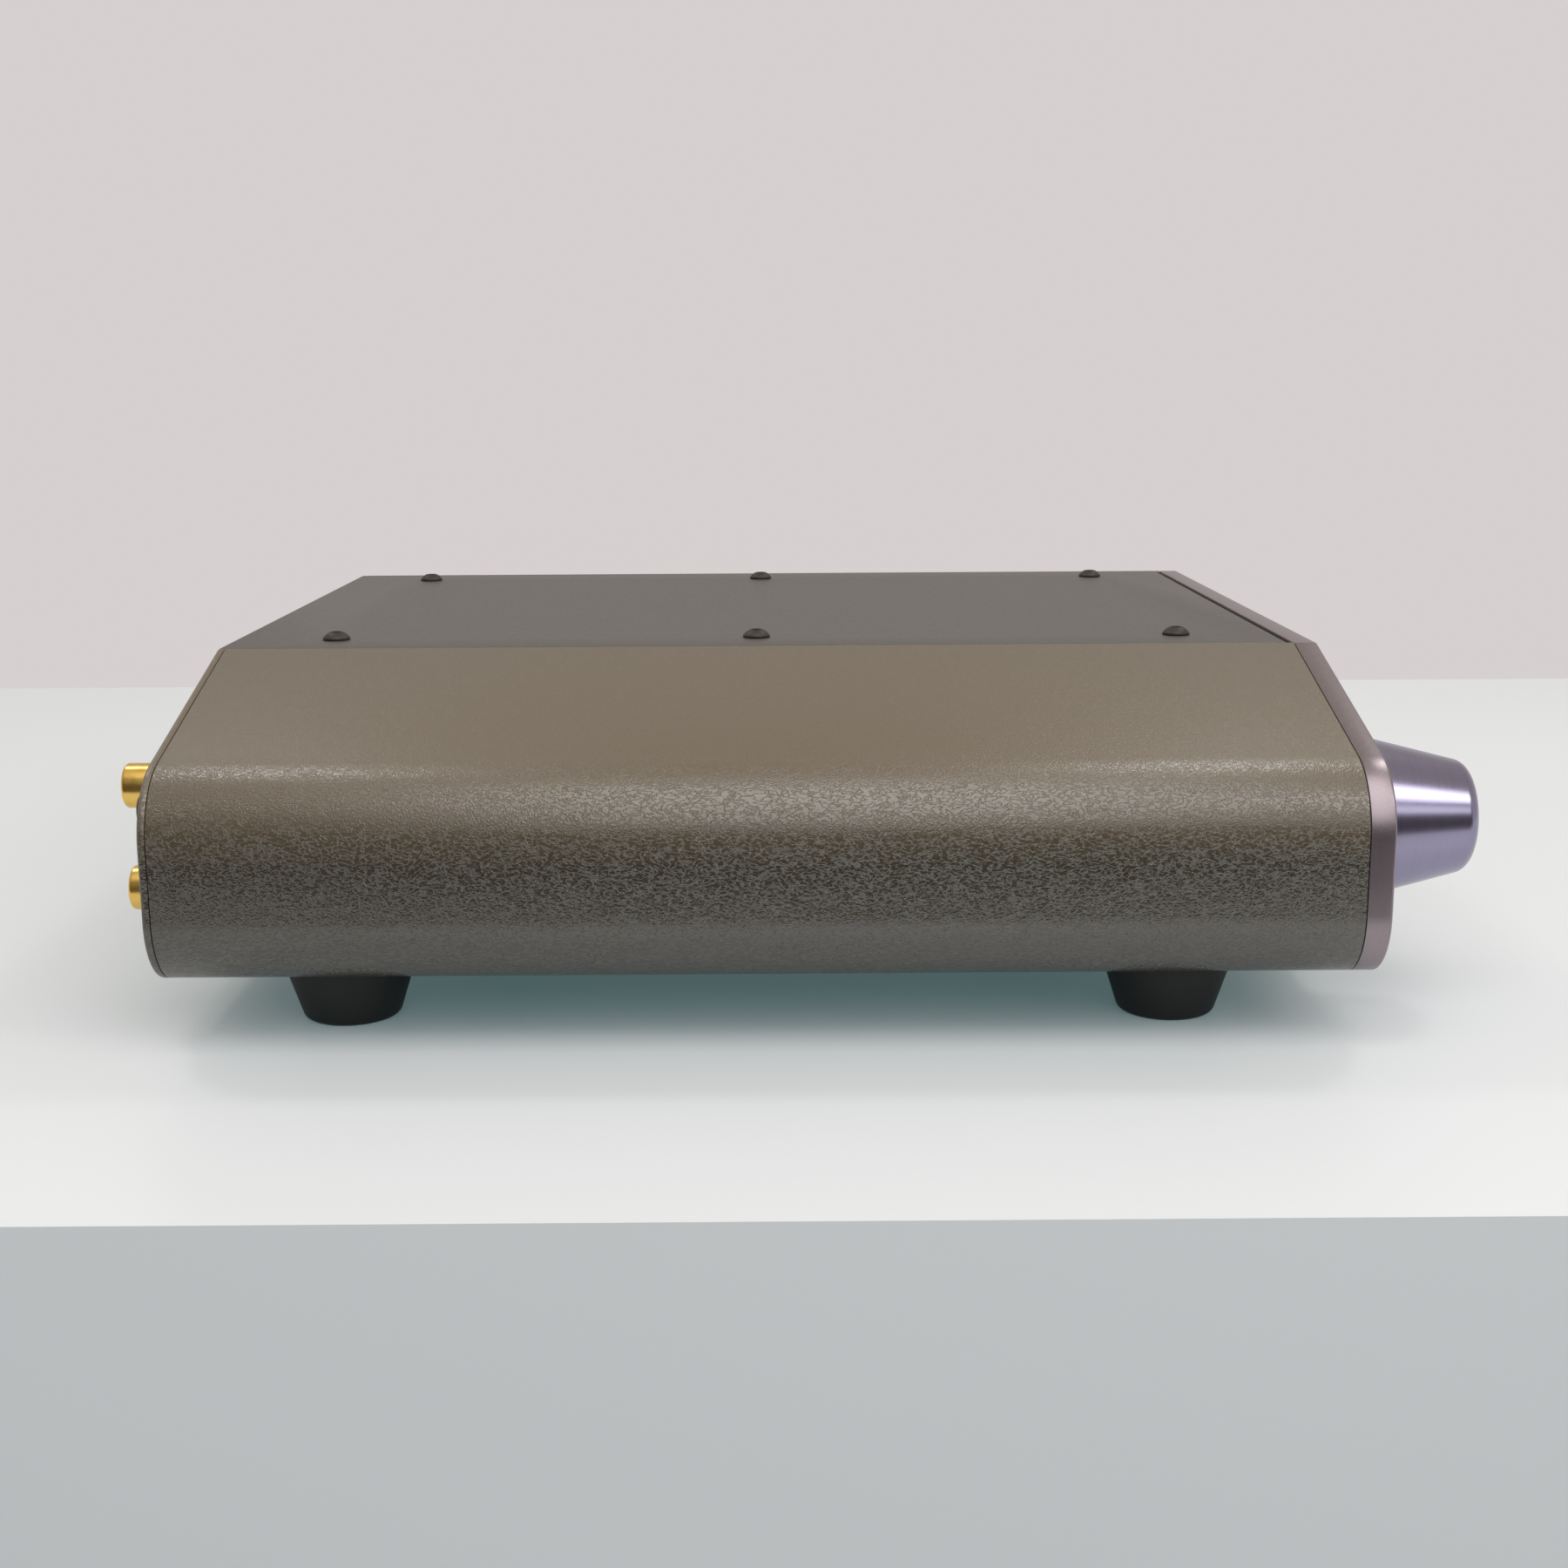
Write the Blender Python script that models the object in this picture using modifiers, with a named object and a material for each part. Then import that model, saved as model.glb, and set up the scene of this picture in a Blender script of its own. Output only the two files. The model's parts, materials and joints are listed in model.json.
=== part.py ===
"""A desktop DAC: a wrapped metal case on rubber feet, with its controls, sockets, boards and supply.

The front faces -Y, the width runs along X and the part stands on Z = 0. The origin is under the middle
of the overall box, which the knob closes at the front and the line-out sockets close at the rear.
"""

import math

import bmesh
import bpy
from mathutils import Matrix, Vector

MM = 0.001
FRONT = Vector((0, -1, 0))
REAR = Vector((0, 1, 0))
RIGHT = Vector((1, 0, 0))

# Clearances
SEAM = 0.3 * MM  # between pieces that are screwed or seated together
HOLE_CLEARANCE = 0.3 * MM  # round a screw, bush or socket in its hole
SLEEVE_CLEARANCE = 0.15 * MM  # round a piece that turns or slides in a bore
WELD = 0.001 * MM

# Facets
FINE_SIDES = 40
ROUND_SIDES = 24
SMALL_SIDES = 12
HEX_SIDES = 6
BEND_STEPS = 8

# Case section, seen from the front
BODY_WIDTH = 269 * MM
BODY_HEIGHT = 55 * MM
TOP_WIDTH = 149 * MM  # between the upper edges of the shoulders
SHOULDER_ANGLE = math.radians(15.9)
UPPER_BEND_RADIUS = 14.4 * MM
LOWER_BEND_RADIUS = 13.5 * MM

# Case shells
WRAP_LENGTH = 218.2 * MM
WRAP_WALL = 2 * MM
COVER_THICKNESS = 2 * MM
COVER_FRONT_GAP = 1.3 * MM
LEDGE_WIDTH = 17 * MM  # lip of the wrap that carries the cover
RIM_LAND = 0.4 * MM  # top of the shoulder edge beside the cover
FRONT_PANEL_THICKNESS = 4.7 * MM
FRONT_PANEL_CORNER = 2 * MM
FRONT_PANEL_CHAMFER = 0.6 * MM
REAR_PANEL_THICKNESS = 1.5 * MM
REAR_PANEL_CORNER = 4 * MM
REAR_PANEL_CHAMFER = 0.4 * MM

# Cover screws
COVER_SCREW_PITCH = 88.6 * MM
COVER_SCREW_REAR_INSET = 21.5 * MM
COVER_SCREW_SIDE_INSET = 13.3 * MM
BUTTON_HEAD_RADIUS = 2.85 * MM
BUTTON_HEAD_HEIGHT = 1.9 * MM
BUTTON_HEAD_RIM = 0.4 * MM
SCREW_RADIUS = 1.5 * MM
SCREW_TIP_CHAMFER = 0.4 * MM
COVER_SCREW_LENGTH = 6 * MM
HEX_KEY = 2 * MM  # across flats
HEX_SOCKET_DEPTH = 1.1 * MM

# Tie rods in ports along the bends of the wrap
PORT_RADIUS = 3.5 * MM
PORT_BITE = 1 * MM  # how far a port is sunk into the wall
PORT_END_INSET = 0.5 * MM
ROD_ENTRY = 3 * MM  # depth of the blind holes in the front panel
ROD_HEAD_HEIGHT = 0.8 * MM

# Feet
FOOT_HEIGHT = 11.7 * MM
FOOT_TOP_RADIUS = 12.7 * MM
FOOT_BOTTOM_RADIUS = 9.15 * MM
FOOT_EDGE_RADIUS = 1.6 * MM
FOOT_SIDE_INSET = 27 * MM
FOOT_FRONT_INSET = 35.4 * MM
FOOT_REAR_INSET = 31.4 * MM
FOOT_RECESS_RADIUS = 4.5 * MM
FOOT_RECESS_DEPTH = 5.5 * MM
FOOT_SCREW_RADIUS = 2 * MM
FOOT_SCREW_HEAD_RADIUS = 3.6 * MM
FOOT_SCREW_HEAD_HEIGHT = 2.4 * MM
FOOT_SCREW_HEAD_RIM = 1 * MM
FOOT_SCREW_TAIL = 1.5 * MM  # past the floor of the case

# Volume control
CONTROL_SIDE_INSET = 35.5 * MM  # of the knob and the headphone socket
KNOB_X = CONTROL_SIDE_INSET - BODY_WIDTH / 2
KNOB_GAP = 0.5 * MM
KNOB_LENGTH = 23.3 * MM
KNOB_BASE_RADIUS = 16.5 * MM
KNOB_FRONT_RADIUS = 10.55 * MM  # of the cone, before its edge is rounded
KNOB_EDGE_RADIUS = 3.4 * MM
KNOB_BACK_CHAMFER = 0.4 * MM
KNOB_RECESS_RADIUS = 9 * MM
KNOB_RECESS_DEPTH = 4.6 * MM
KNOB_MARK_RADIUS = 0.8 * MM
KNOB_MARK_DEPTH = 0.6 * MM
KNOB_MARK_OFFSET = 5.2 * MM
SHAFT_RADIUS = 3 * MM
SHAFT_FLAT = 1.5 * MM  # from the axis to the flat
SHAFT_IN_KNOB = 10 * MM
SHAFT_IN_POT = 12 * MM
GRUB_RADIUS = 1.5 * MM
GRUB_LENGTH = 5 * MM
GRUB_KEY = 1.5 * MM
GRUB_SOCKET_DEPTH = 1.5 * MM
POT_WIDTH = 22 * MM
POT_DEPTH = 18 * MM
BUSH_RADIUS = 4.5 * MM
BUSH_PROUD = 3.6 * MM  # past the face of the front panel
POT_NUT_WIDTH = 12 * MM  # across flats
POT_NUT_THICKNESS = 2.5 * MM

# Headphone socket
HEADPHONE_X = BODY_WIDTH / 2 - CONTROL_SIDE_INSET
HEADPHONE_BODY_WIDTH = 15 * MM
HEADPHONE_BODY_DEPTH = 27 * MM
HEADPHONE_BORE_RADIUS = 3.2 * MM
HEADPHONE_BORE_DEPTH = 30 * MM
HEADPHONE_BUSH_RADIUS = 5 * MM
HEADPHONE_BUSH_PROUD = 2.4 * MM
RING_NUT_RADIUS = 7 * MM
RING_NUT_THICKNESS = 2.2 * MM
RING_NUT_CHAMFER = 0.5 * MM

# Input button, lamps and their board
BUTTON_X = 14 * MM
BUTTON_RADIUS = 4 * MM
BUTTON_PROUD = 1.8 * MM
BUTTON_EDGE = 0.6 * MM
BUTTON_FLANGE_RADIUS = 5.2 * MM
BUTTON_FLANGE_THICKNESS = 1 * MM
BUTTON_STEM_RADIUS = 1.6 * MM
BUTTON_STEM_ENTRY = 0.5 * MM  # into the switch at rest
BUTTON_TRAVEL = 0.8 * MM
SWITCH_WIDTH = 6.2 * MM
SWITCH_DEPTH = 3.5 * MM
LAMP_COUNT = 3
LAMP_FIRST_X = -22 * MM
LAMP_PITCH = 9 * MM
LAMP_RADIUS = 1.5 * MM
LAMP_PROUD = 0.5 * MM
LAMP_FLANGE_RADIUS = 1.9 * MM
LAMP_FLANGE_THICKNESS = 1 * MM
FRONT_BOARD_DISTANCE = 7 * MM  # behind the front panel
FRONT_BOARD_MARGIN = 8 * MM
CONNECTOR_HEIGHT = 8 * MM
CONNECTOR_FLOOR = 2 * MM
CONNECTOR_WALL = 2 * MM

# Boards
BOARD_THICKNESS = 1.6 * MM
BOARD_SIDE_MARGIN = 15 * MM
BOARD_RIGHT_X = 28 * MM
BOARD_FRONT_GAP = 3.5 * MM
BOARD_REAR_GAP = 0.8 * MM
POST_HEIGHT = 4.6 * MM
POST_RADIUS = 3 * MM
POST_NECK_RADIUS = 1.5 * MM
POST_HEAD_RADIUS = 2.2 * MM
POST_HEAD_HEIGHT = 2 * MM
POST_SIDE_INSET = 6 * MM
POST_END_INSET = 14 * MM
CAN_WIDTH = 44 * MM
CAN_LENGTH = 34 * MM
CAN_HEIGHT = 6 * MM
CAN_X = -60 * MM
CAPACITOR_RADIUS = 8 * MM
CAPACITOR_HEIGHT = 25 * MM
CAPACITOR_EDGE = 0.8 * MM
CAPACITOR_X = 8 * MM
CAPACITOR_PITCH = 21 * MM

# Phono sockets
JACK_RADIUS = 4.25 * MM
JACK_WALL = 0.75 * MM
JACK_LIP_RADIUS = 0.6 * MM
JACK_REACH = 9 * MM  # past the rear panel
JACK_POCKET_DEPTH = 4 * MM  # into the housing behind the panel
JACK_CORE_RECESS = 0.8 * MM
JACK_BORE_RADIUS = 1.65 * MM
JACK_BORE_DEPTH = 8.5 * MM
JACK_HOUSING_WALL = 1 * MM
JACK_HOUSING_DEPTH = 11 * MM
LINE_OUT_SIDE_INSET = 22.5 * MM
LINE_OUT_X = LINE_OUT_SIDE_INSET - BODY_WIDTH / 2
LINE_OUT_HEADROOM = 0.7 * MM  # housing to the shoulder above it
COAX_X = -34 * MM

# USB socket
USB_X = 10 * MM
USB_WIDTH = 12 * MM
USB_HEIGHT = 11 * MM
USB_DEPTH = 16 * MM
USB_PROUD = 0.6 * MM
USB_MOUTH_WIDTH = 8.5 * MM
USB_MOUTH_HEIGHT = 7.8 * MM
USB_MOUTH_DEPTH = 9.5 * MM
USB_TONGUE_WIDTH = 5.6 * MM
USB_TONGUE_HEIGHT = 3.2 * MM
USB_TONGUE_RECESS = 1 * MM

# Mains inlet
INLET_SIDE_INSET = 44.5 * MM
INLET_X = BODY_WIDTH / 2 - INLET_SIDE_INSET
MAINS_RISE = 22.5 * MM  # of the inlet and the switch above the underside
INLET_FLANGE_WIDTH = 31 * MM
INLET_FLANGE_HEIGHT = 24 * MM
INLET_FLANGE_THICKNESS = 2.2 * MM
INLET_CORNER_RADIUS = 2 * MM
INLET_WIDTH = 27.4 * MM
INLET_HEIGHT = 19.6 * MM
INLET_DEPTH = 20 * MM  # behind the flange
INLET_MOUTH_WIDTH = 24.4 * MM
INLET_MOUTH_HEIGHT = 16.6 * MM
INLET_MOUTH_DEPTH = 16.5 * MM  # from the face of the flange
INLET_MOUTH_CUT = 4.5 * MM  # slanted upper corners
BLADE_THICKNESS = 2 * MM
BLADE_HEIGHT = 4 * MM
BLADE_RECESS = 3.5 * MM
BLADE_TAIL = 7 * MM
BLADE_SPACING = 14 * MM
BLADE_ROW_OFFSET = 4 * MM  # earth above the other two

# Power switch
SWITCH_SPACING = 38 * MM  # from the inlet
SWITCH_X = INLET_X - SWITCH_SPACING
ROCKER_FLANGE_WIDTH = 15 * MM
ROCKER_FLANGE_HEIGHT = 21 * MM
ROCKER_FLANGE_THICKNESS = 1.8 * MM
ROCKER_FRAME_WIDTH = 13 * MM
ROCKER_FRAME_HEIGHT = 19 * MM
ROCKER_FRAME_DEPTH = 13 * MM  # behind the flange
ROCKER_WELL_WIDTH = 10 * MM
ROCKER_WELL_DEPTH = 9.5 * MM  # from the face of the flange
ROCKER_RADIUS = 7.8 * MM  # from the pivot to the rounded ends
ROCKER_GAP = 0.4 * MM
ROCKER_PIVOT_DEPTH = 3 * MM  # below the face of the flange
ROCKER_CREST = 3.4 * MM  # of the valley between its two faces, above the pivot
ROCKER_TILT = math.radians(9)  # each way from level
ROCKER_BASE = 2.7 * MM  # below the pivot
ROCKER_PIN_RADIUS = 1.2 * MM
ROCKER_PIN_LENGTH = 0.8 * MM
ROCKER_TAB_WIDTH = 4.8 * MM
ROCKER_TAB_THICKNESS = 0.8 * MM
ROCKER_TAB_LENGTH = 7 * MM
ROCKER_TAB_SPACING = 7 * MM

# Transformer
TRANSFORMER_SIDE_INSET = 56.5 * MM
TRANSFORMER_X = BODY_WIDTH / 2 - TRANSFORMER_SIDE_INSET
TRANSFORMER_RADIUS = 34 * MM
TRANSFORMER_BORE_RADIUS = 11 * MM
TRANSFORMER_HEIGHT = 30 * MM
TRANSFORMER_ROUND = 7 * MM
CLAMP_RADIUS = 19 * MM
CLAMP_THICKNESS = 1.6 * MM
CLAMP_DISH = 1.5 * MM
BOLT_RADIUS = 3 * MM
BOLT_HEAD_RADIUS = 5 * MM
BOLT_HEAD_HEIGHT = 4 * MM

# Places along Y, from the front to the rear
KNOB_REACH = KNOB_GAP + KNOB_LENGTH
CASE_DEPTH = FRONT_PANEL_THICKNESS + SEAM + WRAP_LENGTH + SEAM + REAR_PANEL_THICKNESS
FRONT_FACE_Y = (KNOB_REACH - CASE_DEPTH - JACK_REACH) / 2
PANEL_BACK_Y = FRONT_FACE_Y + FRONT_PANEL_THICKNESS
WRAP_FRONT_Y = PANEL_BACK_Y + SEAM
WRAP_REAR_Y = WRAP_FRONT_Y + WRAP_LENGTH
REAR_INNER_Y = WRAP_REAR_Y + SEAM
REAR_FACE_Y = REAR_INNER_Y + REAR_PANEL_THICKNESS
CASE_MIDDLE_Y = (WRAP_FRONT_Y + WRAP_REAR_Y) / 2

# Places along Z
CASE_Z = FOOT_HEIGHT + SEAM
FLOOR_Z = CASE_Z + WRAP_WALL
BOARD_Z = FLOOR_Z + SEAM + POST_HEIGHT + SEAM
BOARD_TOP_Z = BOARD_Z + BOARD_THICKNESS
LEDGE_TOP = BODY_HEIGHT - COVER_THICKNESS - SEAM  # above the underside
LEDGE_BOTTOM = LEDGE_TOP - WRAP_WALL
MAINS_Z = CASE_Z + MAINS_RISE

parts = None
cutters = None


def srgb(hex_colour):
    """Linear colour of a six-digit sRGB code."""
    channels = [int(hex_colour[i : i + 2], 16) / 255 for i in (0, 2, 4)]
    return [c / 12.92 if c <= 0.04045 else ((c + 0.055) / 1.055) ** 2.4 for c in channels]


def finish(name, hex_colour, roughness, metallic):
    """The material of this name, made on its first use."""
    material = bpy.data.materials.get(name)
    if material is None:
        material = bpy.data.materials.new(name)
        material.use_nodes = True
        surface = material.node_tree.nodes["Principled BSDF"]
        surface.inputs["Base Color"].default_value = (*srgb(hex_colour), 1)
        surface.inputs["Roughness"].default_value = roughness
        surface.inputs["Metallic"].default_value = metallic
    return material


def wrinkle_coat():
    return finish("olive wrinkle coat", "7b6f61", 0.55, 0.0)


def cover_paint():
    return finish("dark grey satin paint", "6d6762", 0.45, 0.0)


def plum_anodising():
    return finish("plum anodised aluminium", "8c7f86", 0.35, 0.9)


def violet_anodising():
    return finish("violet anodised aluminium", "8d86a0", 0.3, 0.9)


def black_steel():
    return finish("blackened steel", "17181a", 0.35, 0.6)


def zinc_steel():
    return finish("zinc plated steel", "b9bbbd", 0.35, 1.0)


def gold_plate():
    return finish("gold plate", "d8a83f", 0.18, 1.0)


def rubber():
    return finish("black rubber", "1a1c1c", 0.7, 0.0)


def black_plastic():
    return finish("black plastic", "1b1b1d", 0.45, 0.0)


def pale_plastic():
    return finish("natural nylon", "e6e2d6", 0.5, 0.0)


def lamp_plastic():
    return finish("frosted lamp plastic", "e9ece4", 0.35, 0.0)


def board_lacquer():
    return finish("green board lacquer", "1f4a38", 0.4, 0.0)


def tinned_sheet():
    return finish("tinned sheet steel", "c6c8c9", 0.3, 1.0)


def sleeve_film():
    return finish("dark blue sleeve film", "20304f", 0.35, 0.0)


def winding_tape():
    return finish("yellow winding tape", "c8a64a", 0.5, 0.0)


def clear_scene():
    for old in list(bpy.data.objects):
        bpy.data.objects.remove(old, do_unlink=True)


def new_collection(name):
    collection = bpy.data.collections.new(name)
    bpy.context.scene.collection.children.link(collection)
    return collection


def facing(direction):
    """The rotation that turns local +Z to this direction."""
    return direction.to_track_quat("Z", "Y").to_matrix().to_4x4()


def place(name, mesh, material, location=(0, 0, 0), turn=None):
    """A part of the object, from a mesh in its own space."""
    piece = bpy.data.objects.new(name, mesh)
    parts.objects.link(piece)
    piece.matrix_world = Matrix.Translation(location) @ (turn or Matrix())
    if not mesh.materials:
        mesh.materials.append(material)
    return piece


def helper(name, shape):
    """A cutter or an added shape in world space, which isn't a part itself."""
    mesh = bpy.data.meshes.new(name)
    shape.to_mesh(mesh)
    shape.free()
    tool = bpy.data.objects.new(name, mesh)
    cutters.objects.link(tool)
    tool.hide_render = True
    tool.display_type = "WIRE"
    return tool


def add_box(shape, low, high):
    middle = (Vector(low) + Vector(high)) / 2
    size = Vector(high) - Vector(low)
    bmesh.ops.create_cube(shape, size=1, matrix=Matrix.Translation(middle) @ Matrix.Diagonal((*size, 1)))


def add_rod(shape, start, end, radius, sides):
    """A cylinder between two points."""
    along = Vector(end) - Vector(start)
    bmesh.ops.create_cone(
        shape,
        cap_ends=True,
        segments=sides,
        radius1=radius,
        radius2=radius,
        depth=along.length,
        matrix=Matrix.Translation((Vector(start) + Vector(end)) / 2) @ facing(along.normalized()),
    )


def combine(piece, tool, operation):
    step = piece.modifiers.new(tool.name, "BOOLEAN")
    step.object = tool
    step.operation = operation
    step.solver = "EXACT"


def drill(piece, holes, sides=SMALL_SIDES):
    """Cuts round holes, each given by its two ends and its radius."""
    shape = bmesh.new()
    for start, end, radius in holes:
        add_rod(shape, start, end, radius / math.cos(math.pi / sides), sides)
    combine(piece, helper(f"{piece.name} holes", shape), "DIFFERENCE")


def mill(piece, pockets):
    """Cuts square pockets, each given by two corners."""
    shape = bmesh.new()
    for low, high in pockets:
        add_box(shape, low, high)
    combine(piece, helper(f"{piece.name} pockets", shape), "DIFFERENCE")


def join_boxes(piece, boxes):
    shape = bmesh.new()
    for low, high in boxes:
        add_box(shape, low, high)
    combine(piece, helper(f"{piece.name} blocks", shape), "UNION")


def join_rods(piece, rods, sides=SMALL_SIDES):
    shape = bmesh.new()
    for start, end, radius in rods:
        add_rod(shape, start, end, radius, sides)
    combine(piece, helper(f"{piece.name} rods", shape), "UNION")


def block(name, low, high, material):
    """A box part between two corners, with its origin in its middle."""
    middle = (Vector(low) + Vector(high)) / 2
    shape = bmesh.new()
    add_box(shape, Vector(low) - middle, Vector(high) - middle)
    mesh = bpy.data.meshes.new(name)
    shape.to_mesh(mesh)
    shape.free()
    return place(name, mesh, material, middle)


def arc(centre, radius, start, end, steps):
    """Points round a centre, from the start angle to the end angle."""
    angles = [start + (end - start) * i / steps for i in range(steps + 1)]
    return [(centre[0] + radius * math.cos(a), centre[1] + radius * math.sin(a)) for a in angles]


def flipped(points):
    return [(-x, z) for x, z in points]


def rounded_rectangle(width, height, radius, steps=4):
    """An outline round the origin."""
    x = width / 2 - radius
    z = height / 2 - radius
    corners = ((x, z, 0), (-x, z, 1), (-x, -z, 2), (x, -z, 3))
    outline = []
    for corner_x, corner_z, quarter in corners:
        start = quarter * math.pi / 2
        outline += arc((corner_x, corner_z), radius, start, start + math.pi / 2, steps)
    return outline


def regular_outline(sides, width_across_flats):
    radius = width_across_flats / 2 / math.cos(math.pi / sides)
    return arc((0, 0), radius, 0, 2 * math.pi * (sides - 1) / sides, sides - 1)


def extruded(name, outline, thickness):
    """The mesh of a filled outline in local XY, its thickness centred on Z = 0."""
    curve = bpy.data.curves.new(name, "CURVE")
    curve.dimensions = "2D"
    curve.fill_mode = "BOTH"
    curve.extrude = thickness / 2
    spline = curve.splines.new("POLY")
    spline.points.add(len(outline) - 1)
    for point, (across, along) in zip(spline.points, outline):
        point.co = (across, along, 0, 1)
    spline.use_cyclic_u = True
    guide = bpy.data.objects.new(name, curve)
    cutters.objects.link(guide)
    graph = bpy.context.evaluated_depsgraph_get()
    mesh = bpy.data.meshes.new_from_object(guide.evaluated_get(graph))
    bpy.data.objects.remove(guide)
    shape = bmesh.new()
    shape.from_mesh(mesh)
    bmesh.ops.remove_doubles(shape, verts=shape.verts, dist=WELD)
    bmesh.ops.dissolve_limit(shape, angle_limit=0.001, verts=shape.verts, edges=shape.edges)
    shape.to_mesh(mesh)
    shape.free()
    return mesh


def chamfer_rim(mesh, face_z, width):
    """Chamfers the edges round the flat face at this local height."""
    shape = bmesh.new()
    shape.from_mesh(mesh)
    rim = [e for e in shape.edges if all(abs(v.co.z - face_z) < WELD for v in e.verts)]
    bmesh.ops.bevel(
        shape,
        geom=rim,
        offset=width,
        segments=1,
        profile=0.5,
        affect="EDGES",
        clamp_overlap=True,
        material=-1,
    )
    shape.to_mesh(mesh)
    shape.free()


def smooth(mesh):
    mesh.shade_smooth()
    mesh.set_sharp_from_angle(angle=math.radians(35))


def turned_mesh(name, profile, steps, ring=False, socket=None):
    """The mesh of a profile turned about local Z, with a hex socket of (width, top, depth) cut if given.

    The profile is (radius, height) points down the outer side. A ring's profile closes on itself.
    """
    mesh = bpy.data.meshes.new(name)
    edges = [(i, i + 1) for i in range(len(profile) - 1)]
    if ring:
        edges.append((len(profile) - 1, 0))
    mesh.from_pydata([(radius, 0, height) for radius, height in profile], edges, [])
    blank = bpy.data.objects.new(name, mesh)
    cutters.objects.link(blank)
    screw = blank.modifiers.new("turn", "SCREW")
    screw.axis = "Z"
    screw.angle = 2 * math.pi
    screw.steps = steps
    screw.render_steps = steps
    screw.use_merge_vertices = True
    screw.merge_threshold = WELD
    tool = None
    if socket:
        width, top, depth = socket
        shape = bmesh.new()
        radius = width / 2 / math.cos(math.pi / HEX_SIDES)
        add_rod(shape, (0, 0, top - depth), (0, 0, top + depth), radius, HEX_SIDES)
        tool = helper(f"{name} socket", shape)
        combine(blank, tool, "DIFFERENCE")
    graph = bpy.context.evaluated_depsgraph_get()
    made = bpy.data.meshes.new_from_object(blank.evaluated_get(graph))
    bpy.data.objects.remove(blank)
    if tool:
        bpy.data.objects.remove(tool)
    smooth(made)
    return made


def dome(radius, low, high, steps):
    """Profile points from the top of a low dome on the axis to its rim."""
    quarters = [math.pi / 2 * i / steps for i in range(steps + 1)]
    return [(radius * math.sin(a), low + (high - low) * math.cos(a)) for a in quarters]


def button_screw_mesh(name, head_height, shank_length):
    """A button-head screw with its seat at Z = 0 and its shank below."""
    profile = dome(BUTTON_HEAD_RADIUS, BUTTON_HEAD_RIM, head_height, 3)
    profile += [
        (BUTTON_HEAD_RADIUS, 0),
        (SCREW_RADIUS, 0),
        (SCREW_RADIUS, SCREW_TIP_CHAMFER - shank_length),
        (SCREW_RADIUS - SCREW_TIP_CHAMFER, -shank_length),
        (0, -shank_length),
    ]
    return turned_mesh(name, profile, SMALL_SIDES, socket=(HEX_KEY, head_height, HEX_SOCKET_DEPTH))


# The case section. Heights here are above the underside of the case.


def shoulder_height(x):
    """The outer face of a shoulder at this distance from the middle."""
    return BODY_HEIGHT - (abs(x) - TOP_WIDTH / 2) * math.tan(SHOULDER_ANGLE)


def ceiling_height(x):
    """The inner face of a shoulder at this distance from the middle."""
    return shoulder_height(x) - WRAP_WALL / math.cos(SHOULDER_ANGLE)


def upper_bend_centre():
    x = BODY_WIDTH / 2 - UPPER_BEND_RADIUS
    return x, shoulder_height(x) - UPPER_BEND_RADIUS / math.cos(SHOULDER_ANGLE)


def lower_bend_centre():
    return BODY_WIDTH / 2 - LOWER_BEND_RADIUS, LOWER_BEND_RADIUS


def right_side(inset):
    """The right side from the foot of the shoulder to the underside, this far inside the outer face."""
    upper = arc(upper_bend_centre(), UPPER_BEND_RADIUS - inset, math.pi / 2 - SHOULDER_ANGLE, 0, BEND_STEPS)
    lower = arc(lower_bend_centre(), LOWER_BEND_RADIUS - inset, 0, -math.pi / 2, BEND_STEPS)
    return upper + lower


def wrap_outline():
    edge = TOP_WIDTH / 2
    rebate = edge - RIM_LAND
    tip = rebate - LEDGE_WIDTH
    drop = BODY_HEIGHT - LEDGE_BOTTOM - WRAP_WALL / math.cos(SHOULDER_ANGLE)
    inner_corner = edge + drop / math.tan(SHOULDER_ANGLE)
    outer = [(tip, LEDGE_TOP), (rebate, LEDGE_TOP), (rebate, BODY_HEIGHT), (edge, BODY_HEIGHT)]
    outer += right_side(0)
    inner = [(tip, LEDGE_BOTTOM), (inner_corner, LEDGE_BOTTOM)]
    inner += right_side(WRAP_WALL)
    return outer + flipped(outer[::-1]) + flipped(inner) + inner[::-1]


def panel_outline(top, corner_radius):
    """The full outline of the case up to this height, with its two upper corners rounded."""
    corner_x = TOP_WIDTH / 2 + (BODY_HEIGHT - top) / math.tan(SHOULDER_ANGLE)
    centre = (corner_x - corner_radius * math.tan(SHOULDER_ANGLE / 2), top - corner_radius)
    half = arc(centre, corner_radius, math.pi / 2, math.pi / 2 - SHOULDER_ANGLE, 3)
    half += right_side(0)
    return half + flipped(half[::-1])


def port_centres():
    """(x, z) of the four tie-rod ports, which lie against the inside of the bends."""
    lower_x, lower_z = lower_bend_centre()
    lower_reach = LOWER_BEND_RADIUS - WRAP_WALL - PORT_RADIUS + PORT_BITE
    lower = arc((lower_x, lower_z), lower_reach, -math.pi / 4, 0, 1)[0]
    upper_reach = UPPER_BEND_RADIUS - WRAP_WALL - PORT_RADIUS + PORT_BITE
    upper = arc(upper_bend_centre(), upper_reach, math.pi / 4 - SHOULDER_ANGLE / 2, 0, 1)[0]
    right = [(x, CASE_Z + z) for x, z in (lower, upper)]
    return right + flipped(right)


def control_height():
    """The axis of the knob, halfway up the front panel where the knob sits."""
    return CASE_Z + shoulder_height(KNOB_X) / 2


def cover_screw_places():
    x = TOP_WIDTH / 2 - RIM_LAND - SEAM - COVER_SCREW_SIDE_INSET
    rows = [REAR_FACE_Y - COVER_SCREW_REAR_INSET - COVER_SCREW_PITCH * i for i in range(3)]
    return [(side * x, y) for y in rows for side in (-1, 1)]


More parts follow.
